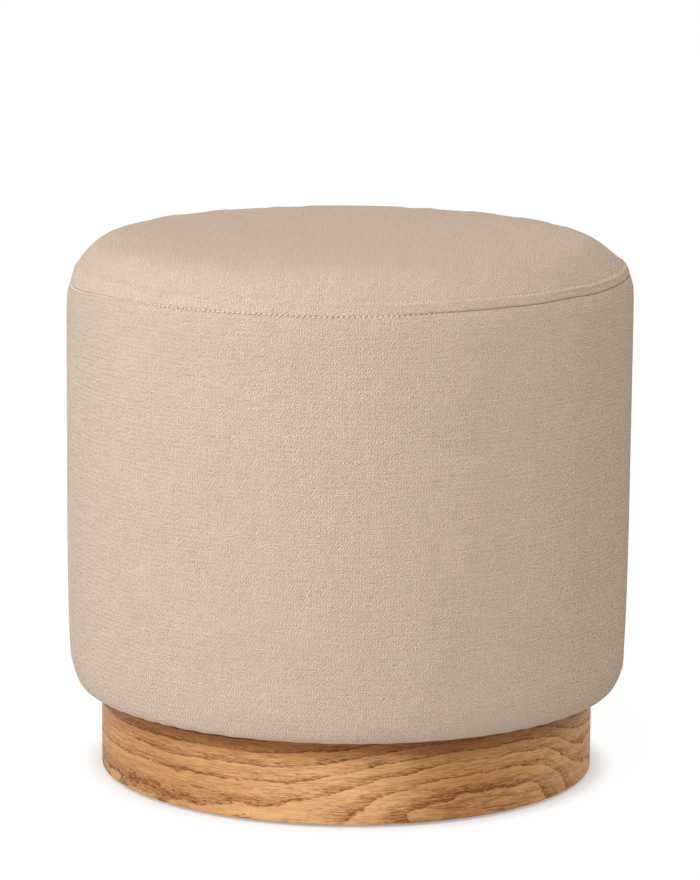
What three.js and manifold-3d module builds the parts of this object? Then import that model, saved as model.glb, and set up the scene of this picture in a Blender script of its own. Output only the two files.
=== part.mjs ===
// Round upholstered drum footstool on a recessed oak plinth, in millimetres, +Z up.
// The origin is on the floor under the middle. The front faces -Y, and the drum's joints are at the back, +Y.
import * as THREE from 'three';
import { mergeVertices } from 'three/addons/utils/BufferGeometryUtils.js';
import Module from 'manifold-3d';

// Driving dimensions of the whole stool
const DRUM_DIAMETER = 445;
const SIDE_HEIGHT = 326.5; // underside of the drum to the stitched seam
const CROWN_RISE = 33.7; // stitched seam to the middle of the seat
const PLINTH_DIAMETER = 391.4;
const PLINTH_HEIGHT = 66.9;
const SEAT_GAP = 0.3; // left between any two pieces that touch

// Cover: a crowned top panel sewn to a sleeve whose lower edge is turned under the base board
const COVER_THICKNESS = 1.5;
const SEAM_DRAW_IN = 2.7; // how far the stitching pulls the side in
const SEAM_DRAW_LENGTH = 6.7; // height in which most of that pull fades
const SIDE_TAPER = 1.2; // how far the side leans in above the lower corner
const TAPER_HEIGHT = 143.4; // where the lean starts, above the underside
const CORNER_RUN = 11.1; // lower corner, measured inwards
const CORNER_RISE = 34.4; // lower corner, measured upwards
const HEM_WIDTH = 45; // cover turned under the base board
const SHOULDER_SETBACK = 29.8; // from the seam in to where the crown rolls over
const SHOULDER_ROUNDING = 5;
const DOME_DROP = 4; // fall of the shallow dome from the middle to the shoulder
const RIDGE_SETBACK = 3; // the upper edge of the seam allowance, in from the seam
const RIDGE_RISE = 6.8; // the same edge, up from the seam

// Padding
const TOP_WADDING = 8;
const WADDING_EASE = 0.6; // room round the end of the seam allowance
const SIDE_WADDING = 6;
const SEAT_FOAM = 58;
const SIDE_FOAM = 10;

// Drum frame
const WALL_BOARD = 3;
const WALL_SLIT = 2; // where the two ends of the wrapped board meet
const SEAT_BOARD = 15;
const BASE_BOARD = 15;
const FORMER_THICKNESS = 12;
const FORMER_WEB = 20; // wood left behind each notch of the middle former
const POST_COUNT = 6;
const POST_WIDTH = 40;
const POST_DEPTH = 22;
const POST_SETBACK = 1.6; // from the boards' edge in to a post's outer face
const VENT_COUNT = 6;
const VENT_RADIUS = 15;
const VENT_CIRCLE = 95;

// Screws that hold the posts between the boards
const SCREW_LENGTH = 40;
const SCREW_RADIUS = 2.1;
const SCREW_TIP = 5;
const SCREW_HEAD_RADIUS = 4.1;
const SCREW_HEAD_HEIGHT = 2.8;

// Plinth
const RING_WALL = 15;
const RING_ARRIS = 1.5; // rounding of the ring's outer edges
const REBATE_WIDTH = 8; // step in the ring's lower inner edge that takes the liner
const LINER_THICKNESS = 0.8;
const PLINTH_BOARD = 12;
const BLOCK_COUNT = 4;
const BLOCK_LENGTH = 60;
const BLOCK_DEPTH = 34;
const BLOCK_BEVEL = 6;

// Glides under the glue blocks
const GLIDE_RADIUS = 12;
const GLIDE_PAD = 2;
const GLIDE_EDGE = 0.7;
const GLIDE_NAIL_RADIUS = 1.3;
const GLIDE_NAIL_LENGTH = 14;

// Bolts from the plinth board into tee nuts in the base board
const BOLT_COUNT = 4;
const BOLT_CIRCLE = 120;
const BOLT_RADIUS = 4;
const BOLT_LENGTH = 30;
const BOLT_POINT = 1; // chamfer at the end of the shank
const BOLT_HEAD_FLATS = 13;
const BOLT_HEAD_HEIGHT = 5.3;
const WASHER_RADIUS = 10;
const WASHER_THICKNESS = 1.6;
const NUT_BARREL_WALL = 0.9;
const NUT_BARREL_LENGTH = 11;
const NUT_FLANGE_RADIUS = 11;
const NUT_FLANGE_THICKNESS = 1.5;

// Facets, all multiples that keep shells of one centre in step with each other
const ROUND_SIDES = 48;
const SMALL_SIDES = 12;
const SCREW_SIDES = 8;
const HEX_SIDES = 6;
const CORNER_STEPS = 4;
const ARRIS_STEPS = 2;
const CROWN_STEP_SHARES = [0, 0.42, 0.69, 0.81, 0.862, 0.895, 0.927, 0.964, 1];
const HIDDEN_STEP_SHARES = [0, 0.69, 0.862, 0.927, 1];
const DRAW_STEP_SHARES = [2.4, 0.75]; // heights below the seam, in draw lengths
const CUT_OVERRUN = 2; // how far a cutting tool passes the face it cuts
const WELD_DISTANCE = 0.0001; // points nearer than this are one point
const QUARTER_TURN = Math.PI / 2;

// Heights from the floor up
const woodBottom = GLIDE_PAD + SEAT_GAP;
const blockBottom = woodBottom + LINER_THICKNESS + SEAT_GAP;
const ringTop = woodBottom + PLINTH_HEIGHT;
const plinthBoardBottom = ringTop - PLINTH_BOARD;
const underside = ringTop + SEAT_GAP;
const frameBottom = underside + COVER_THICKNESS + SEAT_GAP;
const baseTop = frameBottom + BASE_BOARD;
const cornerHeight = underside + CORNER_RISE;
const taperTop = underside + TAPER_HEIGHT;
const seamHeight = underside + SIDE_HEIGHT;
const crownBase = seamHeight + SEAT_GAP;

// Layers inwards from the cover's outer face
const skin = COVER_THICKNESS + SEAT_GAP;
const sideFoamInset = skin + SIDE_WADDING + SEAT_GAP;
const topWaddingRim = 2 * skin + WADDING_EASE; // the seam allowance lies between it and the top panel
const foamRim = topWaddingRim + TOP_WADDING + SEAT_GAP;
const foamDrop = skin + TOP_WADDING + SEAT_GAP;
const seatTop = crownBase + CROWN_RISE - foamDrop - SEAT_FOAM - SEAT_GAP;
const seatBottom = seatTop - SEAT_BOARD;

// Radii
const drumRadius = DRUM_DIAMETER / 2;
const seamRadius = drumRadius - SEAM_DRAW_IN;
const shoulderRadius = seamRadius - SHOULDER_SETBACK;
const ridgeRadius = seamRadius - RIDGE_SETBACK;
const cornerRadius = drumRadius - SIDE_TAPER - CORNER_RUN;
const hemRadius = cornerRadius - HEM_WIDTH;
const sideFoamInner = drumRadius - sideFoamInset - SIDE_FOAM;
const wallOuter = sideFoamInner - SEAT_GAP;
const wallInner = wallOuter - WALL_BOARD;
const boardRadius = wallInner - SEAT_GAP;
const postOuter = boardRadius - POST_SETBACK;
const postInner = postOuter - POST_DEPTH;
const postMiddle = (postOuter + postInner) / 2;
const formerInner = postInner - SEAT_GAP - FORMER_WEB;
const plinthRadius = PLINTH_DIAMETER / 2;
const ringInner = plinthRadius - RING_WALL;
const plinthBoardRadius = ringInner - SEAT_GAP;
const blockMiddle = plinthBoardRadius - BLOCK_DEPTH / 2;

// Stations of the parts that repeat round the middle
const postAngles = evenAngles(POST_COUNT, QUARTER_TURN); // one post backs the joint of the wall board
const blockAngles = evenAngles(BLOCK_COUNT, QUARTER_TURN / 2);
const boltAngles = evenAngles(BOLT_COUNT, QUARTER_TURN);
const ventAngles = evenAngles(VENT_COUNT, QUARTER_TURN);

const wasm = await Module();
wasm.setup();

function evenAngles(count, first) {
  return Array.from({ length: count }, (_, i) => first + (2 * Math.PI * i) / count);
}

function point(radius, height) {
  return new THREE.Vector2(radius, height);
}

// Turns an outline of (radius, height) points, listed anticlockwise, about the Z axis.
function turned(outline, sides = ROUND_SIDES) {
  const geometry = new THREE.LatheGeometry(outline, sides);
  geometry.rotateX(QUARTER_TURN);
  return geometry;
}

// The same for an outline that goes round a hollow middle and closes on itself.
function turnedRing(outline, sides = ROUND_SIDES) {
  return turned([...outline, outline[0]], sides);
}

function rod(radius, bottom, top, sides = SMALL_SIDES) {
  return turned([point(0, bottom), point(radius, bottom), point(radius, top), point(0, top)], sides);
}

function ring(inner, outer, bottom, top, sides = ROUND_SIDES) {
  return turnedRing([point(inner, bottom), point(outer, bottom), point(outer, top), point(inner, top)], sides);
}

// A closed geometry as a solid: points that coincide become one, and triangles without area are dropped.
function solid(geometry) {
  const bare = geometry.clone();
  bare.deleteAttribute('normal');
  bare.deleteAttribute('uv');
  const welded = mergeVertices(bare, WELD_DISTANCE);
  const corners = [];
  for (let i = 0; i < welded.index.count; i += 3) {
    const [a, b, c] = welded.index.array.slice(i, i + 3);
    if (a !== b && b !== c && c !== a) corners.push(a, b, c);
  }
  const vertProperties = new Float32Array(welded.attributes.position.array);
  return new wasm.Manifold(new wasm.Mesh({ numProp: 3, vertProperties, triVerts: new Uint32Array(corners) }));
}

function geometryOf(body) {
  const { vertProperties, triVerts } = body.getMesh();
  const geometry = new THREE.BufferGeometry();
  geometry.setAttribute('position', new THREE.BufferAttribute(vertProperties, 3));
  geometry.setIndex(new THREE.BufferAttribute(triVerts, 1));
  const flat = geometry.toNonIndexed();
  flat.computeVertexNormals();
  return flat;
}

// Cuts copies of a tool out of a blank, one at each angle. The tool is made on the +X side.
function cutRound(blank, tool, angles) {
  return angles.reduce((body, angle) => body.subtract(solid(tool.clone().rotateZ(angle))), blank);
}

// Roll-over of the crown: next to nothing inside the shoulder, then growing in proportion to the radius.
function rollOver(radius) {
  return Math.log(1 + Math.exp((radius - shoulderRadius) / SHOULDER_ROUNDING));
}

// Height of the crown above the seam: a shallow dome, less the roll-over that leads to the ridge.
function crownHeight(radius) {
  const domeDrop = (at) => DOME_DROP * (at / shoulderRadius) ** 2;
  const rollDrop = CROWN_RISE - RIDGE_RISE - domeDrop(ridgeRadius);
  return CROWN_RISE - domeDrop(radius) - (rollDrop * rollOver(radius)) / rollOver(ridgeRadius);
}

// The crown from the middle out over the ridge to the seam, drawn in at its rim and lowered at its middle.
function crownOutline(rimInset, topInset, stepShares) {
  const across = (seamRadius - rimInset) / seamRadius;
  const up = (CROWN_RISE - topInset) / CROWN_RISE;
  const radii = stepShares.map((share) => share * ridgeRadius);
  const crown = radii.map((radius) => point(radius * across, crownBase + crownHeight(radius) * up));
  return [...crown, point(seamRadius * across, crownBase)];
}

// Radius of the drum's side above the lower corner: a slight lean, and the pull of the stitching at the top.
function sideRadius(height, inset) {
  const lean = Math.max(0, (taperTop - height) / (taperTop - cornerHeight));
  const pull = Math.exp((height - seamHeight) / SEAM_DRAW_LENGTH);
  return drumRadius - inset - SIDE_TAPER * lean ** 2 - SEAM_DRAW_IN * pull;
}

// The drum's side from the underside up to a height: a quarter ellipse at the corner, then the side.
function sideOutline(inset, lift, top, shift = 0) {
  const corner = Array.from({ length: CORNER_STEPS + 1 }, (_, i) => {
    const angle = (QUARTER_TURN * i) / CORNER_STEPS;
    const out = (CORNER_RUN - inset) * Math.sin(angle);
    const down = (CORNER_RISE - lift) * Math.cos(angle);
    return point(cornerRadius - shift + out, cornerHeight - down);
  });
  const steps = [taperTop, ...DRAW_STEP_SHARES.map((share) => seamHeight - share * SEAM_DRAW_LENGTH)];
  const heights = [...steps.filter((height) => height < top), top];
  return [...corner, ...heights.map((height) => point(sideRadius(height, inset + shift), height))];
}

// Top panel of the cover: one thickness of cloth over the crown, down to the seam.
function topCover() {
  const inner = crownOutline(COVER_THICKNESS, COVER_THICKNESS, CROWN_STEP_SHARES);
  const outer = crownOutline(0, 0, CROWN_STEP_SHARES);
  return turned([...inner, ...outer.reverse()]);
}

// Sleeve of the cover: its hem lies under the base board, and its seam allowance stands up behind the top panel.
function sideCover() {
  const outer = sideOutline(0, 0, seamHeight);
  const inner = sideOutline(COVER_THICKNESS, COVER_THICKNESS, seamHeight).slice(0, -1);
  const allowanceFace = crownOutline(skin, skin, CROWN_STEP_SHARES).at(-2);
  const allowanceBack = crownOutline(skin + COVER_THICKNESS, skin + COVER_THICKNESS, CROWN_STEP_SHARES).at(-2);
  const foldHeight = seamHeight - COVER_THICKNESS;
  return turnedRing([
    point(hemRadius, underside),
    ...outer,
    point(seamRadius - skin, seamHeight),
    allowanceFace,
    allowanceBack,
    point(seamRadius - skin - COVER_THICKNESS, foldHeight),
    point(sideRadius(foldHeight, COVER_THICKNESS), foldHeight),
    ...inner.reverse(),
    point(hemRadius, underside + COVER_THICKNESS),
  ]);
}

function topWadding() {
  const inner = crownOutline(topWaddingRim + TOP_WADDING, skin + TOP_WADDING, HIDDEN_STEP_SHARES);
  const outer = crownOutline(topWaddingRim, skin, CROWN_STEP_SHARES);
  return turned([...inner, ...outer.reverse()]);
}

// Side wadding: it thins to nothing where the cover is pulled round the lower corner.
function sideWadding() {
  const top = seamHeight - skin;
  const outer = sideOutline(skin, skin, top);
  const inner = sideOutline(skin + SIDE_WADDING, skin, top).slice(1);
  return turnedRing([...outer, ...inner.reverse()]);
}

// Seat foam: a deep disc as wide as the padded wall, with the crown cut on its top.
function seatFoam() {
  const bottom = seatTop + SEAT_GAP;
  const side = sideOutline(sideFoamInset, skin, seamHeight).filter(({ y }) => y > bottom);
  const crown = crownOutline(foamRim, foamDrop, HIDDEN_STEP_SHARES);
  return turned([
    point(0, bottom),
    point(sideRadius(bottom, sideFoamInset), bottom),
    ...side,
    point(seamRadius - foamRim, seamHeight),
    ...crown.reverse(),
  ]);
}

function sideFoam() {
  const outer = sideOutline(skin + SIDE_WADDING, skin, seatTop, SEAT_GAP);
  return turnedRing([point(sideFoamInner, frameBottom), ...outer, point(sideFoamInner, seatTop)]);
}

// Wall board: a thin sheet bent round the boards, its ends meeting on the post at the back.
function wallBoard() {
  const slit = new THREE.BoxGeometry(WALL_SLIT, 2 * WALL_BOARD + CUT_OVERRUN, seatTop);
  slit.translate(0, (wallOuter + wallInner) / 2, (seatTop + frameBottom) / 2);
  return geometryOf(solid(ring(wallInner, wallOuter, frameBottom, seatTop)).subtract(solid(slit)));
}

// A countersunk screw that points down from the origin, or the hole for it when it has clearance.
function screwShape(clearance = 0) {
  const radius = SCREW_RADIUS + clearance;
  const end = -SCREW_LENGTH - clearance;
  return turned([
    point(0, end),
    point(radius, end + SCREW_TIP),
    point(radius, -SCREW_HEAD_HEIGHT - clearance),
    point(SCREW_HEAD_RADIUS + clearance, -clearance),
    point(SCREW_HEAD_RADIUS + clearance, clearance),
    point(0, clearance),
  ], SCREW_SIDES);
}

function seatScrewHole() {
  return screwShape(SEAT_GAP).translate(postMiddle, 0, seatTop - SEAT_GAP);
}

function baseScrewHole() {
  return screwShape(SEAT_GAP).rotateX(Math.PI).translate(postMiddle, 0, frameBottom + SEAT_GAP);
}

// Seat board: a disc with a screw over each post and holes that let the foam breathe.
function seatBoard() {
  const blank = solid(rod(boardRadius, seatBottom, seatTop, ROUND_SIDES));
  const vent = rod(VENT_RADIUS, seatBottom - CUT_OVERRUN, seatTop + CUT_OVERRUN);
  const vented = cutRound(blank.subtract(solid(vent)), vent.clone().translate(VENT_CIRCLE, 0, 0), ventAngles);
  return geometryOf(cutRound(vented, seatScrewHole(), postAngles));
}

// Base board: a disc with a screw under each post and a hole for each tee nut.
function baseBoard() {
  const blank = solid(rod(boardRadius, frameBottom, baseTop, ROUND_SIDES));
  const barrelHole = BOLT_RADIUS + SEAT_GAP + NUT_BARREL_WALL + SEAT_GAP;
  const hole = rod(barrelHole, frameBottom - CUT_OVERRUN, baseTop + CUT_OVERRUN).translate(BOLT_CIRCLE, 0, 0);
  return geometryOf(cutRound(cutRound(blank, hole, boltAngles), baseScrewHole(), postAngles));
}

// Middle former: a ring notched for the posts, which keeps the wall board round at half height.
function middleFormer() {
  const middle = (baseTop + seatBottom) / 2;
  const bottom = middle - FORMER_THICKNESS / 2;
  const blank = solid(ring(formerInner, boardRadius, bottom, bottom + FORMER_THICKNESS));
  const depth = boardRadius - postInner + SEAT_GAP + CUT_OVERRUN;
  const notch = new THREE.BoxGeometry(depth, POST_WIDTH + 2 * SEAT_GAP, FORMER_THICKNESS + CUT_OVERRUN);
  notch.translate(postInner - SEAT_GAP + depth / 2, 0, middle);
  return geometryOf(cutRound(blank, notch, postAngles));
}

// A post on the +X side, with a pilot hole for the screw at each end.
function post() {
  const bottom = baseTop + SEAT_GAP;
  const top = seatBottom - SEAT_GAP;
  const batten = new THREE.BoxGeometry(POST_DEPTH, POST_WIDTH, top - bottom);
  batten.translate(postMiddle, 0, (top + bottom) / 2);
  return geometryOf(solid(batten).subtract(solid(seatScrewHole())).subtract(solid(baseScrewHole())));
}

// Quarter round of the ring's outer edge, from one turn angle to the next.
function arris(height, from) {
  return Array.from({ length: ARRIS_STEPS + 1 }, (_, i) => {
    const angle = from + (QUARTER_TURN * i) / ARRIS_STEPS;
    const centre = plinthRadius - RING_ARRIS;
    return point(centre + RING_ARRIS * Math.cos(angle), height + RING_ARRIS * Math.sin(angle));
  });
}

// Plinth ring: bent oak-faced plywood with softened edges and a rebate inside its lower edge.
function plinthRing() {
  const rebate = ringInner + REBATE_WIDTH;
  return turnedRing([
    point(ringInner, blockBottom),
    point(rebate, blockBottom),
    point(rebate, woodBottom),
    ...arris(woodBottom + RING_ARRIS, -QUARTER_TURN),
    ...arris(ringTop - RING_ARRIS, 0),
    point(ringInner, ringTop),
  ]);
}

function plinthBoard() {
  const blank = solid(rod(plinthBoardRadius, plinthBoardBottom, ringTop, ROUND_SIDES));
  const hole = rod(BOLT_RADIUS + SEAT_GAP, plinthBoardBottom - CUT_OVERRUN, ringTop + CUT_OVERRUN);
  return geometryOf(cutRound(blank, hole.translate(BOLT_CIRCLE, 0, 0), boltAngles));
}

// A glue block on the +X side: bevelled inside, curved to the ring outside, with a hole for the glide's nail.
function glueBlock() {
  const top = plinthBoardBottom - SEAT_GAP;
  const half = BLOCK_LENGTH / 2;
  const inner = plinthBoardRadius - BLOCK_DEPTH;
  const outline = new THREE.Shape([
    point(plinthBoardRadius + CUT_OVERRUN, -half),
    point(plinthBoardRadius + CUT_OVERRUN, half),
    point(inner + BLOCK_BEVEL, half),
    point(inner, half - BLOCK_BEVEL),
    point(inner, BLOCK_BEVEL - half),
    point(inner + BLOCK_BEVEL, -half),
  ]);
  const blank = new THREE.ExtrudeGeometry(outline, { depth: top - blockBottom, bevelEnabled: false });
  const fitted = solid(blank.translate(0, 0, blockBottom)).intersect(solid(rod(plinthBoardRadius, 0, top, ROUND_SIDES)));
  const nailTop = GLIDE_PAD + GLIDE_NAIL_LENGTH + SEAT_GAP;
  const nailHole = rod(GLIDE_NAIL_RADIUS + SEAT_GAP, blockBottom - CUT_OVERRUN, nailTop, SCREW_SIDES);
  return geometryOf(fitted.subtract(solid(nailHole.translate(blockMiddle, 0, 0))));
}

// Liner: thin black cloth that closes the plinth from below, lying in the ring's rebate.
function bottomLiner() {
  const top = woodBottom + LINER_THICKNESS;
  const blank = solid(rod(ringInner + REBATE_WIDTH - SEAT_GAP, woodBottom, top, ROUND_SIDES));
  const nailHole = rod(GLIDE_NAIL_RADIUS + SEAT_GAP, woodBottom - CUT_OVERRUN, top + CUT_OVERRUN, SCREW_SIDES);
  return geometryOf(cutRound(blank, nailHole.translate(blockMiddle, 0, 0), blockAngles));
}

// A glide stands at its own origin on the floor: a pad with an eased edge, and the nail that holds it.
function glide() {
  return turned([
    point(0, 0),
    point(GLIDE_RADIUS - GLIDE_EDGE, 0),
    point(GLIDE_RADIUS, GLIDE_EDGE),
    point(GLIDE_RADIUS, GLIDE_PAD),
    point(GLIDE_NAIL_RADIUS, GLIDE_PAD),
    point(GLIDE_NAIL_RADIUS, GLIDE_PAD + GLIDE_NAIL_LENGTH),
    point(0, GLIDE_PAD + GLIDE_NAIL_LENGTH),
  ], SCREW_SIDES * 2);
}

// A bolt that points up, with the underside of its hexagonal head's seat at height zero.
function bolt() {
  const head = turned([
    point(0, -BOLT_HEAD_HEIGHT),
    point(BOLT_HEAD_FLATS / Math.sqrt(3), -BOLT_HEAD_HEIGHT),
    point(BOLT_HEAD_FLATS / Math.sqrt(3), 0),
    point(0, 0),
  ], HEX_SIDES);
  const shank = turned([
    point(0, -BOLT_HEAD_HEIGHT / 2),
    point(BOLT_RADIUS, -BOLT_HEAD_HEIGHT / 2),
    point(BOLT_RADIUS, BOLT_LENGTH - BOLT_POINT),
    point(BOLT_RADIUS - BOLT_POINT, BOLT_LENGTH),
    point(0, BOLT_LENGTH),
  ], SMALL_SIDES);
  return geometryOf(solid(head).add(solid(shank)));
}

function washer() {
  return ring(BOLT_RADIUS + SEAT_GAP, WASHER_RADIUS, 0, WASHER_THICKNESS, SMALL_SIDES);
}

// A tee nut with its flange at height zero and its barrel hanging into the board.
function teeNut() {
  const bore = BOLT_RADIUS + SEAT_GAP;
  return turnedRing([
    point(bore, -NUT_BARREL_LENGTH),
    point(bore + NUT_BARREL_WALL, -NUT_BARREL_LENGTH),
    point(bore + NUT_BARREL_WALL, 0),
    point(NUT_FLANGE_RADIUS, 0),
    point(NUT_FLANGE_RADIUS, NUT_FLANGE_THICKNESS),
    point(bore, NUT_FLANGE_THICKNESS),
  ], SMALL_SIDES);
}

function finish(color, roughness, metalness = 0) {
  return new THREE.MeshStandardMaterial({ color, roughness, metalness });
}

const beigeCloth = finish(0xcbb5a1, 0.95);
const wadding = finish(0xf1efea, 1);
const foam = finish(0xe9dcb4, 0.95);
const birchPlywood = finish(0xcfb083, 0.75);
const fibreboard = finish(0x8a6f52, 0.8);
const pine = finish(0xd9b985, 0.75);
const oak = finish(0xc79a68, 0.55);
const zincSteel = finish(0xb9bcc0, 0.35, 1);
const liner = finish(0x1e1e20, 0.95);
const blackNylon = finish(0x262627, 0.5);

function piece(name, geometry, material) {
  const mesh = new THREE.Mesh(geometry, material);
  mesh.name = name;
  return mesh;
}

// One named copy at each angle. A copy is turned about Z and set at a radius and a height.
function piecesRound(name, geometry, material, angles, radius = 0, height = 0) {
  return angles.map((angle, i) => {
    const mesh = piece(`${name}_${i + 1}`, geometry, material);
    mesh.position.set(radius * Math.cos(angle), radius * Math.sin(angle), height);
    mesh.rotation.z = angle;
    return mesh;
  });
}

function assembly(...pieces) {
  const group = new THREE.Group();
  group.add(...pieces);
  return group;
}

const washerHeight = plinthBoardBottom - SEAT_GAP - WASHER_THICKNESS;

const upholstery = assembly(
  piece('top_cover', topCover(), beigeCloth),
  piece('side_cover', sideCover(), beigeCloth),
  piece('top_wadding', topWadding(), wadding),
  piece('side_wadding', sideWadding(), wadding),
  piece('seat_foam', seatFoam(), foam),
  piece('side_foam', sideFoam(), foam),
);

const drumFrame = assembly(
  piece('wall_board', wallBoard(), fibreboard),
  piece('seat_board', seatBoard(), birchPlywood),
  piece('middle_former', middleFormer(), birchPlywood),
  piece('base_board', baseBoard(), birchPlywood),
  ...piecesRound('post', post(), pine, postAngles),
  ...piecesRound('seat_screw', screwShape(), zincSteel, postAngles, postMiddle, seatTop - SEAT_GAP),
  ...piecesRound('base_screw', screwShape().rotateX(Math.PI), zincSteel, postAngles, postMiddle, frameBottom + SEAT_GAP),
  ...piecesRound('tee_nut', teeNut(), zincSteel, boltAngles, BOLT_CIRCLE, baseTop + SEAT_GAP),
);

const plinth = assembly(
  piece('plinth_ring', plinthRing(), oak),
  piece('plinth_board', plinthBoard(), birchPlywood),
  piece('bottom_liner', bottomLiner(), liner),
  ...piecesRound('glue_block', glueBlock(), pine, blockAngles),
  ...piecesRound('glide', glide(), blackNylon, blockAngles, blockMiddle),
  ...piecesRound('washer', washer(), zincSteel, boltAngles, BOLT_CIRCLE, washerHeight),
  ...piecesRound('bolt', bolt(), zincSteel, boltAngles, BOLT_CIRCLE, washerHeight - SEAT_GAP),
);

export default assembly(upholstery, drumFrame, plinth);
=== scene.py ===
# %% [markdown]
# A round footstool, dressed in Blender.
# The real thing is a padded drum in a woven cover, bolted to a recessed oak plinth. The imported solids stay
# where they are and hold the sizes, the mass and the collision; here we add what the eye sees. We load
# them first, because every piece below takes its size and place from them.

# %% Load the solids
import bpy
import numpy as np
from mathutils import Matrix, Vector


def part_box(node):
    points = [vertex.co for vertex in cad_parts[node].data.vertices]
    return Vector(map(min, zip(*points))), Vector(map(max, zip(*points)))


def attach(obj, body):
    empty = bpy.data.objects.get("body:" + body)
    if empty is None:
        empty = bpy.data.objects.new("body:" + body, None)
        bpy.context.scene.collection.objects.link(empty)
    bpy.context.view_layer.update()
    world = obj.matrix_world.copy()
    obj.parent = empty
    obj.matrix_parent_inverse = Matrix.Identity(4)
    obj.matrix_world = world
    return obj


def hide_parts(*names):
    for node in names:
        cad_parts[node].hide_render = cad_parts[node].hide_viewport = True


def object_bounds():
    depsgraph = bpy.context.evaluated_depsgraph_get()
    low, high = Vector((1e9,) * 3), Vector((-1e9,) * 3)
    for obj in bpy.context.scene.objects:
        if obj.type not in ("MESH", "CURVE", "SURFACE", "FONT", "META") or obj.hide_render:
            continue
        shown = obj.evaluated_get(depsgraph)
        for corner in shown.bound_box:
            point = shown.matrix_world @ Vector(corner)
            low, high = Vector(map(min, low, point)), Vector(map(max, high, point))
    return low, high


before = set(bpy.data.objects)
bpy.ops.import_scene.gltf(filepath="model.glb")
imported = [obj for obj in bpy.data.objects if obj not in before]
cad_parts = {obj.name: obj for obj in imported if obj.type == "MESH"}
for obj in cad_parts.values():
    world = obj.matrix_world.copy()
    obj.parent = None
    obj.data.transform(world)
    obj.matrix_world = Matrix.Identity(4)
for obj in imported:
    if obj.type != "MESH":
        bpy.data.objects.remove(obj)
cad_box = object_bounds()
MM = 0.001
print(len(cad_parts), "solids, in mm:", [round((high - low) / MM, 1) for low, high in zip(*cad_box)])

# %% [markdown]
# The camera stands about three metres away and looks down by under eleven degrees. It could be placed by
# eye, but the drum's rim and the plinth's edges are circles, and how flat their ellipses look gives the
# dip and the distance. The photograph was held a little crooked, so the camera is also rolled by half a
# degree.

# %% Camera
CAMERA_PLACE = Vector((0.0009, -3.1150, 0.8487))
CAMERA_DIP = np.radians(10.667)
CAMERA_ROLL = np.radians(0.53)
LENS = 163.66  # millimetres, on a sensor 36 mm long


def given(thing, **settings):
    """The same thing, once its settings are given by name."""
    for key, value in settings.items():
        setattr(thing, key, value)
    return thing


def added(name, data, matrix=Matrix()):
    """A new object in the scene, placed and turned by a matrix."""
    thing = bpy.data.objects.new(name, data)
    bpy.context.scene.collection.objects.link(thing)
    return given(thing, matrix_world=matrix)


camera_data = given(bpy.data.cameras.new("camera"), lens=LENS, sensor_width=36, clip_end=100)
bpy.context.scene.camera = added("camera", camera_data, Matrix.Translation(CAMERA_PLACE) @ Matrix.Rotation(
    np.pi / 2 - CAMERA_DIP, 4, "X") @ Matrix.Rotation(CAMERA_ROLL, 4, "Z"))
print("camera dips by", round(np.degrees(CAMERA_DIP), 2), "degrees at", round(-CAMERA_PLACE.y, 2), "m")

# %% [markdown]
# The cover's sizes. The solids' boxes give the drum's radius, its underside, the seam and the crown. The
# rest are what an upholsterer would chalk on the pattern: how the lower corner is rounded, where the crown
# rolls over, and how far the seam allowance shows through the top panel as a low ridge.

# %% Sizes of the cover
sleeve_low, sleeve_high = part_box("side_cover")
panel_low, panel_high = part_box("top_cover")
GAP = 0.3 * MM
CLOTH = 1.5 * MM
SKIN = CLOTH + GAP
DRUM_RADIUS = sleeve_high.x
UNDERSIDE = sleeve_low.z
SEAM_RADIUS = panel_high.x
CROWN_BASE = panel_low.z
CROWN_RISE = panel_high.z - panel_low.z
SEAM_HEIGHT = CROWN_BASE - GAP
SHOULDER_RADIUS = SEAM_RADIUS - 28.4 * MM
SHOULDER_ROUNDING = 6.5 * MM
DOME_DROP = 4 * MM
RIDGE_RADIUS = SEAM_RADIUS - 3 * MM
RIDGE_RISE = 6.8 * MM
RIDGE_SLOPE = np.hypot(SEAM_RADIUS - RIDGE_RADIUS, RIDGE_RISE)  # from the ridge straight down to the seam
SEAM_DRAW_IN = DRUM_RADIUS - SEAM_RADIUS
SEAM_DRAW_LENGTH = 6.7 * MM
SIDE_TAPER = 1.2 * MM
TAPER_TOP = UNDERSIDE + 143.4 * MM
CORNER_RUN = 11.1 * MM
CORNER_RISE = 34.4 * MM
CORNER_RADIUS = DRUM_RADIUS - SIDE_TAPER - CORNER_RUN
CORNER_HEIGHT = UNDERSIDE + CORNER_RISE
HEM_RADIUS = CORNER_RADIUS - 45 * MM
print("seam at", round(SEAM_HEIGHT / MM, 1), "mm, crown rises", round(CROWN_RISE / MM, 1), "mm above it")

# %% [markdown]
# Every visible surface is a grid of points: rows run along a profile, and columns run round the stool. It
# could be built face by face, but numpy works out all the points at once. The last column gets cloth
# coordinates of its own, so that a weave does not jump back to its start inside a face.

# %% Grids into meshes
PADDING_STEP = 4  # the hidden padding uses every fourth column
STITCH_PITCH = 4.1 * MM
STITCH_COUNT = PADDING_STEP * round(2 * np.pi * SEAM_RADIUS / STITCH_PITCH / PADDING_STEP)
BACK = np.pi / 2
columns = 2 * STITCH_COUNT  # one column under each stitch, and one between two stitches
angles = BACK + 2 * np.pi * np.arange(columns) / columns
angles_round = np.append(angles, angles[0] + 2 * np.pi)


def grid_faces(rows, columns, round_rows=False):
    """Faces of a grid whose columns close round the stool: each joins a point, its neighbour in the next
    column, and the two above them. With round_rows the last row joins the first. Counted anticlockwise
    from outside."""
    row = np.arange(rows if round_rows else rows - 1)[:, None]
    column = np.arange(columns)[None, :]
    above = (row + 1) % rows * columns
    beside = (column + 1) % columns
    corners = [row * columns + column, row * columns + beside, above + beside, above + column]
    return np.stack(np.broadcast_arrays(*corners), axis=-1).reshape(-1, 4)


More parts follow.
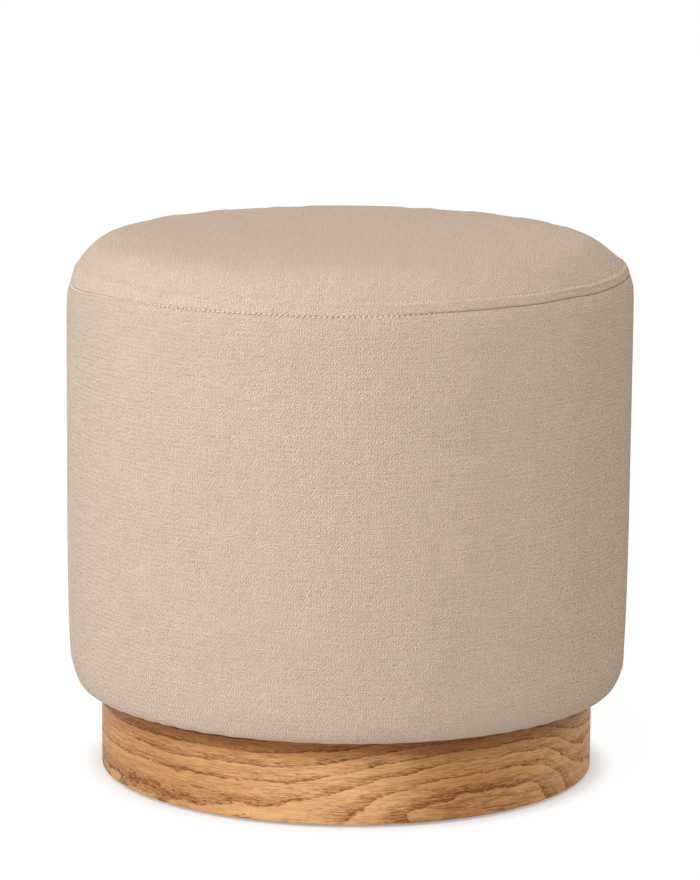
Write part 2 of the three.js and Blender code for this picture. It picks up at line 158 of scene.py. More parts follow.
def corner_values(values):
    """One value for each face corner of such a grid, from values on one more row and one more column."""
    cells = [values[:-1, :-1], values[:-1, 1:], values[1:, 1:], values[1:, :-1]]
    return np.stack(cells, axis=2).reshape(-1, *values.shape[2:])


def new_piece(name, points, faces, flat=None):
    """A smooth-shaded mesh object. faces is a list of arrays of point numbers, and flat has the cloth
    coordinates, in metres, of every face corner in the same order."""
    mesh = bpy.data.meshes.new(name)
    listed = [face for group in faces for face in group.tolist()]
    mesh.from_pydata(points.reshape(-1, 3).tolist(), [], listed)
    mesh.polygons.foreach_set("use_smooth", np.ones(len(mesh.polygons), bool))
    if flat is not None:
        mesh.uv_layers.new(name="flat").data.foreach_set("uv", flat.astype(np.float32).ravel())
    mesh.update()
    return added(name, mesh)


def around(radius, height, angle):
    """Points about the stool's axis: radius times cosine of the angle, radius times sine of it, height."""
    radius, height, angle = np.broadcast_arrays(radius, height, angle)
    return np.stack([radius * np.cos(angle), radius * np.sin(angle), height], axis=-1)


def looped(name, radius, height, flat=None, step=1):
    """A closed ring about the stool's axis: rows go up its outer face, down its inner one and meet."""
    points = around(radius, height, angles)[:, ::step]
    return new_piece(name, points, [grid_faces(*points.shape[:2], round_rows=True)], flat)


def capped(name, radius, height, cloth=None, step=1, centre=(0, 0), turn=angles):
    """A closed shell about an upright axis: rows go out from the axis underneath and back to it on top.
    The first and the last row shrink to one point each, joined to the next row by triangles."""
    rings = around(radius[1:-1], height[1:-1], turn)[:, ::step]
    sides = rings.shape[1]
    rings = rings.reshape(-1, 3)
    ends = around(np.zeros(2), np.array([height[0].mean(), height[-1].mean()]), 0)
    first, count = np.arange(sides), len(rings)
    second = (first + 1) % sides
    last = count - sides
    below = np.column_stack([np.full(sides, count), second, first])
    above = np.column_stack([np.full(sides, count + 1), last + first, last + second])
    flat = None
    if cloth is not None:
        rims = [(cloth[0], cloth[1, 1:], cloth[1, :-1]), (cloth[-1], cloth[-2, :-1], cloth[-2, 1:])]
        fans = [np.stack([middle[:-1], one, other], axis=1).reshape(-1, 2) for middle, one, other in rims]
        flat = np.vstack([corner_values(cloth[1:-1]), *fans])
    points = np.vstack([rings, ends]) + [*centre, 0]
    return new_piece(name, points, [grid_faces(len(radius) - 2, sides), below, above], flat)


def there_and_back(face, other):
    """Radii and heights of the rows of one face and then of the other backwards, which closes them."""
    return [np.vstack([out, home[::-1]]) for out, home in zip(face, other)]


def count_triangles(piece):
    """How many triangles a piece has: each face gives two fewer than it has corners."""
    return sum(len(face.vertices) - 2 for face in piece.data.polygons)


print(columns, "columns round the stool; a 3 by 4 grid has", len(grid_faces(3, 4)), "faces")

# %% [markdown]
# The crown. On the real stool the top panel is a disc of cloth drawn over foam: nearly flat in the middle,
# rolling over at the shoulder, then dropping steeply to the seam. One arc could not follow that, so the
# height is a shallow parabola less a roll-over that starts at the shoulder. The corners are then averaged,
# because cloth over wadding cannot crease sharply.

# %% Profile of the crown
PROFILE_STEP = 0.25 * MM
CORNER_SOFTENING = 3 * MM
LIP_TURN = 1 * MM  # how far the panel's edge curls in to the stitches
LIP_RISE = 0.6 * MM
LONGEST_ROW = 8 * MM
SHORTEST_ROW = 0.7 * MM


def bell(distance, width):
    """One at no distance, less beside it: e to the power of minus the square of the distance over the
    width."""
    return np.exp(-((distance / width) ** 2))


def crown_height(radius):
    """Height above the seam: the rise, less a parabola, less the roll-over. The roll-over is the natural
    logarithm of one plus e to the power of the distance past the shoulder over its rounding, scaled to
    meet the ridge."""
    def dome(at):
        return DOME_DROP * (at / SHOULDER_RADIUS) ** 2

    def roll(at):
        return np.log1p(np.exp((at - SHOULDER_RADIUS) / SHOULDER_ROUNDING))

    roll_drop = CROWN_RISE - RIDGE_RISE - dome(RIDGE_RADIUS)
    return CROWN_RISE - dome(radius) - roll_drop * roll(radius) / roll(RIDGE_RADIUS)


def travelled(line):
    """Distance along a line of points, from its first point to each of them."""
    return np.concatenate([[0], np.cumsum(np.hypot(*np.diff(line, axis=0).T))])


def at_distances(line, distances):
    """Points of a line at given distances along it."""
    along = travelled(line)
    return np.column_stack([np.interp(distances, along, part) for part in line.T])


def softened(line, reach):
    """The line with round corners: each point becomes the bell-weighted mean of those within reach of
    it."""
    even = at_distances(line, np.arange(0, travelled(line)[-1], PROFILE_STEP))
    half = int(reach / PROFILE_STEP / 2)
    weights = np.hanning(2 * half + 3)[1:-1]
    wide = np.pad(even, ((half, half), (0, 0)), mode="reflect", reflect_type="odd")
    return np.column_stack([np.convolve(part, weights / weights.sum(), mode="valid") for part in wide.T])


def crown_line():
    """Radius and height above the seam of the crown's outer face, from the middle to the lip at the
    stitches. The steps are long in the middle, shrink with the distance left to the seam, and halve at the
    crease."""
    radius = np.linspace(0, RIDGE_RADIUS, 900)
    dome = np.column_stack([radius, crown_height(radius)])
    lip = np.array([(SEAM_RADIUS, LIP_RISE), (SEAM_RADIUS - LIP_TURN, 0)])
    line = softened(np.vstack([dome, lip]), CORNER_SOFTENING)
    along = travelled(line)
    left = along[-1] - along
    step = np.clip(SHORTEST_ROW + 0.07 * left, 0, LONGEST_ROW)
    step *= 1 - 0.45 * bell(left - RIDGE_SLOPE - 2 * MM, 3 * MM)
    pace = np.concatenate([[0], np.cumsum(np.diff(along) / step[1:])])
    return at_distances(line, np.interp(np.linspace(0, pace[-1], int(pace[-1])), pace, along))


crown_profile = crown_line()
crown_reach = travelled(crown_profile)
print("crown:", len(crown_profile), "rows,", round(crown_reach[-1] / MM, 1), "mm from middle to seam")

# %% [markdown]
# The seam is sewn by hand and eye, so it is not level: seen from the front its right side sits a few
# millimetres higher, and it dips at the far left. Each stitch also draws the cloth in a little. Both
# panels share these numbers, so the seam stays closed however it wanders.

# %% The line of the seam
SEAM_TILT = 3 * MM
SEAM_DIPS = ((-180, 25, 7 * MM), (-90, 22, 1.3 * MM))  # where, in degrees, how wide and how deep
SEAM_WANDER = 0.4 * MM
STITCH_PINCH = 0.2 * MM
SEAM_FADE = 1.5 * MM
SEAM_GROOVE = 1.15 * MM  # how much deeper the seam lies where it is drawn tight
SEAM_PUFF = 0.5 * MM  # how far the cloth puffs out at the seam where it is slack


def uneven(angle, waves, seed):
    """A slow swell between about minus one and one: the mean of cosines that go round the stool in whole
    numbers of waves, each with a seeded start, scaled up by the root of how many there are."""
    starts = np.random.default_rng(seed).uniform(0, 2 * np.pi, len(waves))
    return sum(np.cos(count * angle + start) for count, start in zip(waves, starts)) / np.sqrt(len(waves))


def near(angle, middle, width):
    """A bell over the turn, in degrees, from a middle angle."""
    return bell((np.degrees(angle) - middle + 180) % 360 - 180, width)


def s_curve(along, centre, width):
    """A smooth step from nought to one: one over one plus e to the power of minus the distance over the
    width."""
    return 1 / (1 + np.exp(-(along - centre) / width))


def bells(angle, listed):
    """The sum of bells round the stool, each listed by its middle, its width in degrees and its height."""
    return sum(height * near(angle, middle, width) for middle, width, height in listed)


def seam_rise(angle):
    """How far the seam lies above its level: a tilt that is highest on the right, less its dips, and a
    wander."""
    wander = SEAM_WANDER * uneven(angle, (7, 11, 16, 23), 3)
    return SEAM_TILT * np.cos(angle) - bells(angle, SEAM_DIPS) + wander


def drawn_in(angle):
    """How tightly the seam is drawn: nought on the left, one on the right, changing just right of the
    front."""
    return s_curve(np.cos(angle), 0.14, 0.05)


def seam_pinch(distance):
    """How far the cloth is drawn in at a distance from the seam, column by column: the stitches' pull,
    which is full under a stitch and nought between two, and the groove less the puff. All fade by e for
    each fade length."""
    pull = STITCH_PINCH * (1 + np.cos(np.pi * np.arange(columns))) / 2
    pull = pull + SEAM_GROOVE * drawn_in(angles) - SEAM_PUFF * (1 - drawn_in(angles))
    return pull * np.exp(-distance / SEAM_FADE)


print(STITCH_COUNT, "stitches, each", round(STITCH_PITCH / MM, 1), "mm")

# %% [markdown]
# How cloth settles. A taut cover still swells unevenly where the wadding under it is thicker. That could
# be painted on as noise, but a cloth simulation finds where the cloth would give. A coarse closed drum is
# remeshed into even squares, held at the seam and the underside, and blown up softly. Only its relief is
# kept: the fine panels are measured against it, each row's mean is taken out so that the profile stays,
# and the rest is capped.

# %% Settle a coarse drum
SETTLE_INSET = 1 * MM
SETTLE_VOXEL = 6 * MM
SETTLE_FRAMES = 20
SETTLE_SIDE_ROWS = 30
SETTLE_COLUMNS = 96
HELD_BAND = 9 * MM


def coarse_drum():
    """A closed, slightly smaller drum: across the underside, straight up the side and in along the
    crown."""
    crown = crown_profile[::2][::-1] * (1 - SETTLE_INSET / DRUM_RADIUS)
    side = np.linspace(SEAM_HEIGHT - 8 * MM, CORNER_HEIGHT, SETTLE_SIDE_ROWS)[::-1]
    radius = np.concatenate([[0, CORNER_RADIUS / 2, CORNER_RADIUS],
                             np.full(SETTLE_SIDE_ROWS, DRUM_RADIUS - SETTLE_INSET), crown[:, 0]])
    height = np.concatenate([np.full(3, UNDERSIDE + SKIN), side, CROWN_BASE + crown[:, 1]])
    turn = np.linspace(0, 2 * np.pi, SETTLE_COLUMNS + 1)[:-1]
    return capped("settling", radius[:, None], height[:, None], turn=turn)


def modified(piece, kind, **settings):
    """A new modifier of a piece, with its settings."""
    return given(piece.modifiers.new(kind.lower(), kind), **settings)


def worked_out(piece):
    """A new mesh with the piece's modifiers worked out."""
    return bpy.data.meshes.new_from_object(piece.evaluated_get(bpy.context.evaluated_depsgraph_get()))


def fixed(piece):
    """The piece once its modifiers are worked out into its mesh."""
    mesh = worked_out(piece)
    piece.modifiers.clear()
    piece.data = mesh
    return piece


def numbers_of(mesh, what):
    """The places or the normals of a mesh's points, as one array of three columns."""
    values = np.zeros(len(mesh.vertices) * 3, np.float32)
    mesh.vertices.foreach_get(what, values)
    return values.reshape(-1, 3).astype(float)


def settled_drum():
    """The coarse drum remeshed into cubes' faces and relaxed as inflated cloth, held at seam and
    underside."""
    drum = coarse_drum()
    modified(drum, "REMESH", mode="VOXEL", voxel_size=SETTLE_VOXEL)
    height = numbers_of(fixed(drum).data, "co")[:, 2].astype(np.float32)  # as precise as in the mesh
    held = (np.abs(height - SEAM_HEIGHT) < HELD_BAND) | (height < UNDERSIDE + HELD_BAND)
    drum.vertex_groups.new(name="held").add(np.flatnonzero(held).tolist(), 1.0, "REPLACE")
    cloth = modified(drum, "CLOTH").settings
    given(cloth, quality=5, vertex_group_mass="held", use_pressure=True, uniform_pressure_force=4,
          shrink_min=-0.03)
    cloth.effector_weights.gravity = 0
    for number in range(1, SETTLE_FRAMES + 1):
        bpy.context.scene.frame_set(number)
    modified(drum, "SMOOTH", iterations=6)
    fixed(drum)
    bpy.context.scene.frame_set(1)
    return drum


settled = settled_drum()
print("settled drum:", "skipped" if settled is None else f"{len(settled.data.vertices)} points")

# %% [markdown]
# The fine panels read the settled drum with Blender's Shrinkwrap. It moves each point along its normal to
# the settled surface, and how far it moved is the relief there.

# %% Read the relief
RELIEF_CAP = 0.32 * MM
PROBE_REACH = 20 * MM
EASE_ACROSS = 17  # columns and rows over which the relief is eased
EASE_ALONG = 3


def eased(values, axis, count, mode):
    """Bell-weighted running mean along an axis: the values are shifted by each step, weighed and added."""
    weights = np.hanning(count + 2)[1:-1]
    pad = [(0, 0), (0, 0)]
    pad[axis] = (count // 2, count // 2)
    wide = np.pad(values, pad, mode=mode)
    kept = np.arange(values.shape[axis])
    shifted = [weight * np.take(wide, kept + step, axis) for step, weight in enumerate(weights)]
    return sum(shifted) / weights.sum()


def settled_relief(radius, height):
    """How far each point of an outer face stands out after settling, for rows that run upwards on the
    outside: the move along the normal, eased, less the row's mean, squeezed under the cap by a hyperbolic
    tangent."""
    rows = len(radius)
    if settled is None:
        return np.zeros((rows, columns))
    probe = new_piece("probe", around(radius, height, angles), [grid_faces(rows, columns)])
    modified(probe, "SHRINKWRAP", target=settled, wrap_method="PROJECT", use_positive_direction=True,
             use_negative_direction=True, project_limit=PROBE_REACH)
    move = numbers_of(worked_out(probe), "co") - numbers_of(probe.data, "co")
    out = (move * numbers_of(probe.data, "normal")).sum(axis=1).reshape(rows, columns)
    bpy.data.objects.remove(probe)
    out = eased(eased(out, 1, EASE_ACROSS, "wrap"), 0, EASE_ALONG, "edge")
    out -= out.mean(axis=1, keepdims=True)
    return RELIEF_CAP * np.tanh(out / RELIEF_CAP)


print("relief is capped at", round(RELIEF_CAP / MM, 2), "mm")

# %% [markdown]
# The top panel. Its outer and inner faces are the same rows, the inner ones drawn in by one thickness of
# cloth. Its flat coordinates are the distance from the middle along the cloth, turned to each column's
# angle, so the weave keeps its size over the shoulder. The seam allowance's hard edge shows as a low ridge
# with a crease above it, stronger on the right where the light grazes it.

# %% Top panel of the cover
SEAM_REACH = 12 * MM  # how far up the crown the seam's tilt is felt
RIDGE_SWELL = 0.8 * MM
RIDGE_WIDTH = 1.5 * MM
RIDGE_DENT = 3 * MM  # from the ridge up to the dent above it
RIDGE_FAINT = ((0, 25, 0.6), (-62, 24, 0.45))  # where the ridge is fainter, how wide and by what share
CREASE_DEPTH = 0.55 * MM
CREASE_WIDTH = 0.7 * MM
CREASE_PLACE = 1.9 * MM  # from the ridge up to the crease
FULLNESS = 3.4 * MM  # how much fuller the padding is under the left shoulder
FULLEST = (-163, 26 * MM)  # where: degrees round the stool, and how far up from the seam
FULL_WIDTH = (50, 17 * MM)


def crown_face(inset_rim, inset_top, relief):
    """Points of a face of the crown: the profile drawn in at the rim and lowered in the middle, raised
    with the seam's line near the seam, swollen at the ridge, dented and creased just above it, pinched at
    each stitch, and fuller under the left shoulder."""
    across = (SEAM_RADIUS - inset_rim) / SEAM_RADIUS
    up = (CROWN_RISE - inset_top) / CROWN_RISE
    left = (crown_reach[-1] - crown_reach)[:, None]
    above = left - RIDGE_SLOPE - LIP_TURN
    crease = CREASE_DEPTH * bell(above - CREASE_PLACE, CREASE_WIDTH)
    crease = crease * (1 + 0.5 * uneven(angles, (6, 13, 19), 31))
    dent = (0.7 - 0.5 * np.cos(angles) ** 4) * bell(above - RIDGE_DENT, RIDGE_WIDTH)
    strength = 1 + 0.35 * np.cos(angles) - bells(angles, RIDGE_FAINT) + 0.3 * uneven(angles, (5, 9, 14), 8)
    ridge = RIDGE_SWELL * (bell(above, RIDGE_WIDTH) - dent) * strength
    fuller = FULLNESS * near(angles, FULLEST[0], FULL_WIDTH[0]) * bell(left - FULLEST[1], FULL_WIDTH[1])
    height = CROWN_BASE + crown_profile[:, 1:] * up + seam_rise(angles) * np.exp(-left / SEAM_REACH)
    return crown_profile[:, :1] * across + ridge - crease - seam_pinch(left), height + relief + fuller


def crown_cloth():
    """Cloth coordinates of the crown's rows: distance along the cloth from the middle, turned to the
    angle."""
    return around(crown_reach[:, None], 0, angles_round)[..., :2]


level_crown = crown_face(0, 0, 0)
crown_relief = settled_relief(level_crown[0][::-1], level_crown[1][::-1])[::-1]
crown_faces = [crown_face(inset, inset, crown_relief) for inset in (CLOTH, 0)]
crown_weave = np.concatenate([crown_cloth(), crown_cloth()[::-1]])
crown_panel = capped("crown_panel", *there_and_back(*crown_faces), crown_weave)
print("top panel:", count_triangles(crown_panel), "triangles, relief up to",
      round(abs(crown_relief).max() / MM, 2), "mm")

# %% [markdown]
# The sleeve. On the real stool it is one long strip, sewn into a tube at the back, pulled over the padded
# wall and stapled under the base board. Its profile is a flat hem, a quarter ellipse round the lower
# corner, a side that leans in by a hair, the pull of the stitches, and the seam allowance that stands up
# behind the top panel.

# %% Profile of the sleeve
SEAM_FOLD = 1 * MM  # rounding of the sleeve's edge at the stitches
HEM_ROWS = 7
CORNER_ROWS = 12
SIDE_ROWS = 34
FOLD_ROWS = 5


def sleeve_line(inset, lift=None):
    """Radius and height of the rows, from the hem's edge to the top of the seam allowance, on the face
    that lies inset inside the outer one and lift above it at the hem. The side's radius is the drum's,
    less the taper times the square of the lean, less the stitches' pull, which fades by e for each draw
    length below the seam."""
    lift = inset if lift is None else lift
    hem = np.linspace(HEM_RADIUS, CORNER_RADIUS, HEM_ROWS)[:-1]
    turn = np.linspace(0, np.pi / 2, CORNER_ROWS)
    corner_radius = CORNER_RADIUS + (CORNER_RUN - inset) * np.sin(turn)
    corner_height = CORNER_HEIGHT - (CORNER_RISE - lift) * np.cos(turn)
    share = 1 - (1 - np.linspace(0, 1, SIDE_ROWS)) ** 1.7  # rows draw together towards the seam
    side = CORNER_HEIGHT + (SEAM_HEIGHT - SEAM_FOLD - CORNER_HEIGHT) * share[1:]
    lean = np.clip((TAPER_TOP - side) / (TAPER_TOP - CORNER_HEIGHT), 0, None)
    pull = SEAM_DRAW_IN * np.exp((side - SEAM_HEIGHT) / SEAM_DRAW_LENGTH)
    side_radius = DRUM_RADIUS - inset - SIDE_TAPER * lean ** 2 - pull
    fold = np.linspace(0, np.pi / 2, FOLD_ROWS)[1:]
    fold_round = max(SEAM_FOLD - inset * 0.9, 0)
    fold_radius = side_radius[-1] - fold_round * (1 - np.cos(fold))
    fold_height = side[-1] + fold_round * np.sin(fold)
    across = (SEAM_RADIUS - SKIN - inset) / SEAM_RADIUS
    allowance_radius = across * np.array([SEAM_RADIUS, RIDGE_RADIUS])
    allowance_height = [fold_height[-1], CROWN_BASE + RIDGE_RISE * across]
    hem_height = np.full(HEM_ROWS - 1, UNDERSIDE + lift)
    return (np.concatenate([hem, corner_radius, side_radius, fold_radius, allowance_radius]),
            np.concatenate([hem_height, corner_height, side, fold_height, allowance_height]))


sleeve_up = travelled(np.column_stack(sleeve_line(0)))
print("sleeve:", len(sleeve_up), "rows,", round(sleeve_up[-1] / MM), "mm from hem to seam allowance")

# %% [markdown]
# The sleeve's surface. The closing seam at the back is a shallow valley with the cloth puffed a little on
# each side. Under the base board the tube has to shrink to a smaller circle, so the hem gathers into small
# radial folds. Both are sums of simple curves, added before the grid becomes a mesh.

# %% Sleeve of the cover
SLEEVE_SEAM_REACH = 34 * MM
HEM_SHIFT = 1.3 * MM  # the filling has settled a little towards the right at the bottom
SHIFT_HEIGHT = 11 * MM
SHIFT_WIDTH = 10 * MM
BACK_SEAM_DEPTH = 0.9 * MM
BACK_SEAM_PUFF = 0.5 * MM
BACK_SEAM_WIDTH = 1.8 * MM
GATHER_COUNT = 58
GATHER_DEPTH = 0.25 * MM


def back_seam(angle):
    """Depth of the closing seam by distance from it: a bell-shaped puff less a bell-shaped valley a third
    as wide."""
    away = DRUM_RADIUS * (np.mod(angle - BACK + np.pi, 2 * np.pi) - np.pi)
    valley = (BACK_SEAM_PUFF + BACK_SEAM_DEPTH) * bell(away, BACK_SEAM_WIDTH)
    return BACK_SEAM_PUFF * bell(away, 3 * BACK_SEAM_WIDTH) - valley


def gathers(radius, height):
    """Small radial folds of the hem, between the plinth and the corner, where nothing presses it flat: a
    wave round the stool whose pace and strength are uneven, times a bell over that strip."""
    wave = np.cos(GATHER_COUNT * angles + 2 * uneven(angles, (3, 5, 8), 21))
    wave = wave * (1 + 0.5 * uneven(angles, (4, 9), 22))
    strip = bell(radius - CORNER_RADIUS + 2 * MM, 6 * MM) * bell(height - UNDERSIDE, 5 * MM)
    return GATHER_DEPTH * (wave - 1) * strip


def sleeve_face(inset, relief, lift=None):
    """Radii and heights of one face of the sleeve, with the seam's line, the stitches' pinch, the back
    seam, the settled filling and the gathers."""
    radius, height = (row[:, None] for row in sleeve_line(inset, lift))
    below_seam = np.abs(SEAM_HEIGHT - height)
    on_side = np.clip((height - UNDERSIDE) / CORNER_RISE, 0, 1)
    shift = HEM_SHIFT * np.cos(angles) * bell(height - UNDERSIDE - SHIFT_HEIGHT, SHIFT_WIDTH)
    swell = (relief + shift + back_seam(angles) * on_side) * on_side ** 0.5
    rise = seam_rise(angles) * np.exp(-below_seam / SLEEVE_SEAM_REACH)
    return radius + swell - seam_pinch(below_seam), height + rise - gathers(radius, height)


def flat_map(across, up):
    """Coordinates of every face corner on a flat strip: a distance round the stool and one up the
    profile."""
    return corner_values(np.stack(np.broadcast_arrays(across[None, :], up[:, None]), axis=-1))


sleeve_relief = settled_relief(*sleeve_face(0, 0))
sleeve_faces = [sleeve_face(inset, sleeve_relief) for inset in (0, CLOTH)]
sleeve = looped("sleeve", *there_and_back(*sleeve_faces), flat_map(
    DRUM_RADIUS * (angles_round - BACK), np.concatenate([sleeve_up, sleeve_up[::-1], sleeve_up[:1]])))
print("sleeve:", count_triangles(sleeve), "triangles, relief up to",
      round(abs(sleeve_relief).max() / MM, 2), "mm")

# %% [markdown]
# The stitches. Where the panels pull apart, the thread shows as short pale dashes in the groove. Each is a
# little capsule of thread that bows outwards and leans a few degrees. All are worked out at once as one
# array: stitch, section along it, side of the thread, and x, y, z.

# %% Stitches of the seam
THREAD_RADIUS = 0.6 * MM
THREAD_SIDES = 6
STITCH_SHARE = 0.8  # how much of the pitch a stitch covers
STITCH_BOW = 0.45 * MM
STITCH_LEAN = 0.25 * MM
STITCH_SINK = 3 * MM  # how far the thread sinks out of sight where the seam is drawn tight
STITCH_SECTIONS = 9
STITCH_OUT = 0.3 * MM
STITCH_UP = 0.4 * MM


def short_wires(radius, height, turn, thick, sides=THREAD_SIDES):
    """Points and faces of many short closed tubes along the stool's circles. The arrays have one row per
    wire and one column per section, and thick gives the wire's radius at each section."""
    side = 2 * np.pi * np.arange(sides) / sides
    points = around(radius[..., None] + thick[:, None] * np.cos(side),
                    height[..., None] + thick[:, None] * np.sin(side), turn[..., None])
    count, sections = turn.shape
    section, edge = np.arange(sections - 1)[:, None] * sides, np.arange(sides)[None, :]
    beside = (edge + 1) % sides
    above = section + sides
    tube = np.stack([section + edge, above + edge, above + beside, section + beside], axis=-1)
    caps = np.array([edge[0], (sections - 1) * sides + edge[0, ::-1]])
    first = (np.arange(count) * sections * sides)[:, None, None]
    return points, [(tube.reshape(-1, 4) + first).reshape(-1, 4), (caps + first).reshape(-1, sides)]


def stitches():
    """Points and faces of the stitches. Along each, the thread is as thick as the fourth root of one minus
    the fourth power of the distance from its middle, and it bows out by one minus the square of that
    distance."""
    draw = np.random.default_rng(12)
    along = np.linspace(-1, 1, STITCH_SECTIONS)
    length = STITCH_SHARE * STITCH_PITCH / 2 * draw.uniform(0.8, 1.1, (STITCH_COUNT, 1))
    turn = angles[1::2][:, None] + along * length / SEAM_RADIUS
    bow = STITCH_BOW * (1 - along ** 2) * draw.uniform(0.7, 1.2, (STITCH_COUNT, 1))
    lean = STITCH_LEAN * along * draw.uniform(0.4, 1.2, (STITCH_COUNT, 1))
    thick = THREAD_RADIUS * (1.0001 - along ** 4) ** 0.25
    sunk = STITCH_SINK * (drawn_in(turn) + 0.4 * near(turn, 180, 42))
    height = SEAM_HEIGHT + STITCH_UP + lean + seam_rise(turn)
    return short_wires(SEAM_RADIUS + STITCH_OUT + bow - sunk, height, turn, thick)


seam_stitches = new_piece("seam_stitches", *stitches())
print("stitches:", STITCH_COUNT, "with", count_triangles(seam_stitches), "triangles")

# %% [markdown]
# The padding. It never shows, but a stool that is cut open in a drawing, or simulated, has it: a cap of
# wadding over the seat foam, wadding round the side, and thin foam round the wall. The same rows as the
# cover's, drawn further in, keep every layer clear of the next.

# %% Wadding and foam
WADDING = 8 * MM
SIDE_WADDING = 6 * MM
CAP_RIM = 2 * SKIN + 0.6 * MM
FOAM_RIM = CAP_RIM + WADDING + GAP
FOAM_SIDE = DRUM_RADIUS - SKIN - SIDE_WADDING - GAP
seat_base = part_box("seat_foam")[0].z
wrap_low, wrap_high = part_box("side_foam")
wall_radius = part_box("wall_board")[1].x + GAP

cap_faces = [crown_face(CAP_RIM + thick, SKIN + thick, crown_relief) for thick in (WADDING, 0)]
wadding_cap = capped("wadding_cap", *there_and_back(*cap_faces), step=PADDING_STEP)

foam_top = crown_face(FOAM_RIM, SKIN + WADDING + GAP, crown_relief)
foam_rows = np.array([(0, seat_base), (FOAM_SIDE / 2, seat_base), (FOAM_SIDE, seat_base),
                      (FOAM_SIDE, SEAM_HEIGHT - 4 * SEAM_DRAW_LENGTH)]).T[..., None] + np.zeros(columns)
foam_seat = capped("foam_seat", *there_and_back(foam_rows, foam_top), step=PADDING_STEP)

body_rows = slice(HEM_ROWS - 1, HEM_ROWS + CORNER_ROWS + SIDE_ROWS - 2)
wadding_out = [part[body_rows] for part in sleeve_face(SKIN, sleeve_relief)]
wadding_in = [part[body_rows][1:] for part in sleeve_face(SKIN + SIDE_WADDING, sleeve_relief, SKIN)]
wadding_wrap = looped("wadding_wrap", *there_and_back(wadding_out, wadding_in), step=PADDING_STEP)

under_wadding = np.array([part[body_rows] for part in sleeve_line(SKIN + SIDE_WADDING + GAP, SKIN)]).T
under_wadding = under_wadding[under_wadding[:, 1] < wrap_high.z - GAP]
wrap_rows = np.vstack([(wall_radius, wrap_low.z), under_wadding, (FOAM_SIDE, wrap_high.z),
                       (wall_radius, wrap_high.z)])
foam_wrap = looped("foam_wrap", wrap_rows[:, :1], wrap_rows[:, 1:], step=PADDING_STEP)
padding = {wadding_cap: 0.5, wadding_wrap: 0.5, foam_seat: 0.9, foam_wrap: 0.8}  # how full each is
print("padding:", {piece.name: count_triangles(piece) for piece in padding})

# %% [markdown]
# The oak ring. It is plywood bent into a hoop and faced with flat-sawn oak, its edges eased and a step cut
# inside its lower edge for the liner. The profile is carried round in many columns, so the wood shows no
# facets.

# %% Plinth ring
ring_low, ring_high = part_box("plinth_ring")
liner_low, liner_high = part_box("bottom_liner")
RING_RADIUS = ring_high.x
RING_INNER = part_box("plinth_board")[1].x + GAP
LINER_RADIUS = liner_high.x
RING_ARRIS = 0.8 * MM
RING_ROWS = 36
ARRIS_ROWS = 5


def quarter(radius, height, ease, first_turn):
    """Rows of an eased edge: a quarter round of radius ease about a point, from one turn angle on."""
    turn = first_turn + np.linspace(0, np.pi / 2, ARRIS_ROWS)
    return np.column_stack([radius + ease * np.cos(turn), height + ease * np.sin(turn)])


def ring_line():
    """The ring's outline: in at the step, round the lower edge, up the face, round the upper edge and back
    in."""
    low_edge, high_edge = ring_low.z + RING_ARRIS, ring_high.z - RING_ARRIS
    face = np.column_stack([np.full(RING_ROWS, RING_RADIUS), np.linspace(low_edge, high_edge, RING_ROWS)])
    edges = [quarter(RING_RADIUS - RING_ARRIS, height, RING_ARRIS, turn)
             for height, turn in ((low_edge, -np.pi / 2), (high_edge, 0))]
    step_top, step_radius = liner_high.z + GAP, LINER_RADIUS + GAP
    start = [(RING_INNER, step_top), (step_radius, step_top), (step_radius, ring_low.z)]
    return np.vstack([start, edges[0], face[1:-1], edges[1], [(RING_INNER, ring_high.z)]])


ring_profile = ring_line()
print("ring profile:", len(ring_profile), "rows")

# %% [markdown]
# Flat-sawn figure. A log's growth rings are cylinders round its pith, and a veneer is a flat slice that
# passes the pith at some distance. Where the slice dips towards the pith, the rings close into tall arches
# called cathedrals. By Pythagoras the distance from the pith is the root of the slice's distance squared
# plus the height squared. One arch spans the front, right of the middle, and the faces carry the rings for
# the finish.

# %% Growth of the tree at each place
PITH_DISTANCE = 80.0  # all in millimetres of veneer, which is how a log is measured
FIRST_RING = 83.1
RING_SPACING = 4.85


def growth(along, height):
    """Which growth ring is met at a distance along the veneer from the front and a height, both in
    millimetres. The slice leaves the pith on both sides of the front arch, and comes nearer again twice at
    the back."""
    front = 2150 * s_curve(-along, -14, 26) + 2100 * s_curve(along, 201, 16)
    back = 1700 * bell(along + 455, 70) + 1300 * bell(along - 430, 60)
    distance = np.sqrt(PITH_DISTANCE ** 2 + front - back + height ** 2)
    return (distance - FIRST_RING) / RING_SPACING


def leaf_tone(along):
    """How light the oak is along the veneer: one, less a step down to the left of the front and one to the
    right, which are painted shade where less light reaches the oak, less bells over the heart of the front
    arch and over the figure at the back, which are the wood's own tone."""
    heart = 0.26 * bell(along - 92, 48)
    back = 0.16 * bell(np.abs(along) - 450, 110)
    # Painted shade: these two steps stand in for less light reaching the oak left and right of the front.
    sides = 0.3 * s_curve(-along, 90, 30) * s_curve(along, -420, 40) + 0.17 * s_curve(along, 120, 30)
    return 1 - sides - heart - back


ring_heights = np.append(ring_profile[:, 1], ring_profile[0, 1])
veneer = flat_map(RING_RADIUS * (angles_round - BACK - np.pi), ring_heights)
oak_ring = looped("oak_ring", ring_profile[:, :1], ring_profile[:, 1:], veneer)
oak_ring.data.set_sharp_from_angle(angle=np.radians(40))
grown = growth(*veneer.T / MM)
for name, values in (("growth", grown), ("leaf_tone", leaf_tone(veneer[:, 0] / MM))):
    carried = oak_ring.data.attributes.new(name, "FLOAT", "CORNER")
    carried.data.foreach_set("value", values.astype(np.float32))
print("oak ring:", count_triangles(oak_ring), "triangles,", round(np.ptp(grown)), "rings met")

# %% [markdown]
# The underside. A black non-woven liner closes the plinth. It is cut as a disc, laid in the ring's step
# and stapled all round, so it sags a little in the middle and puckers between staples. Four nylon glides
# are nailed through it and hold the oak two millimetres off the floor, which draws the thin dark line
# under it.

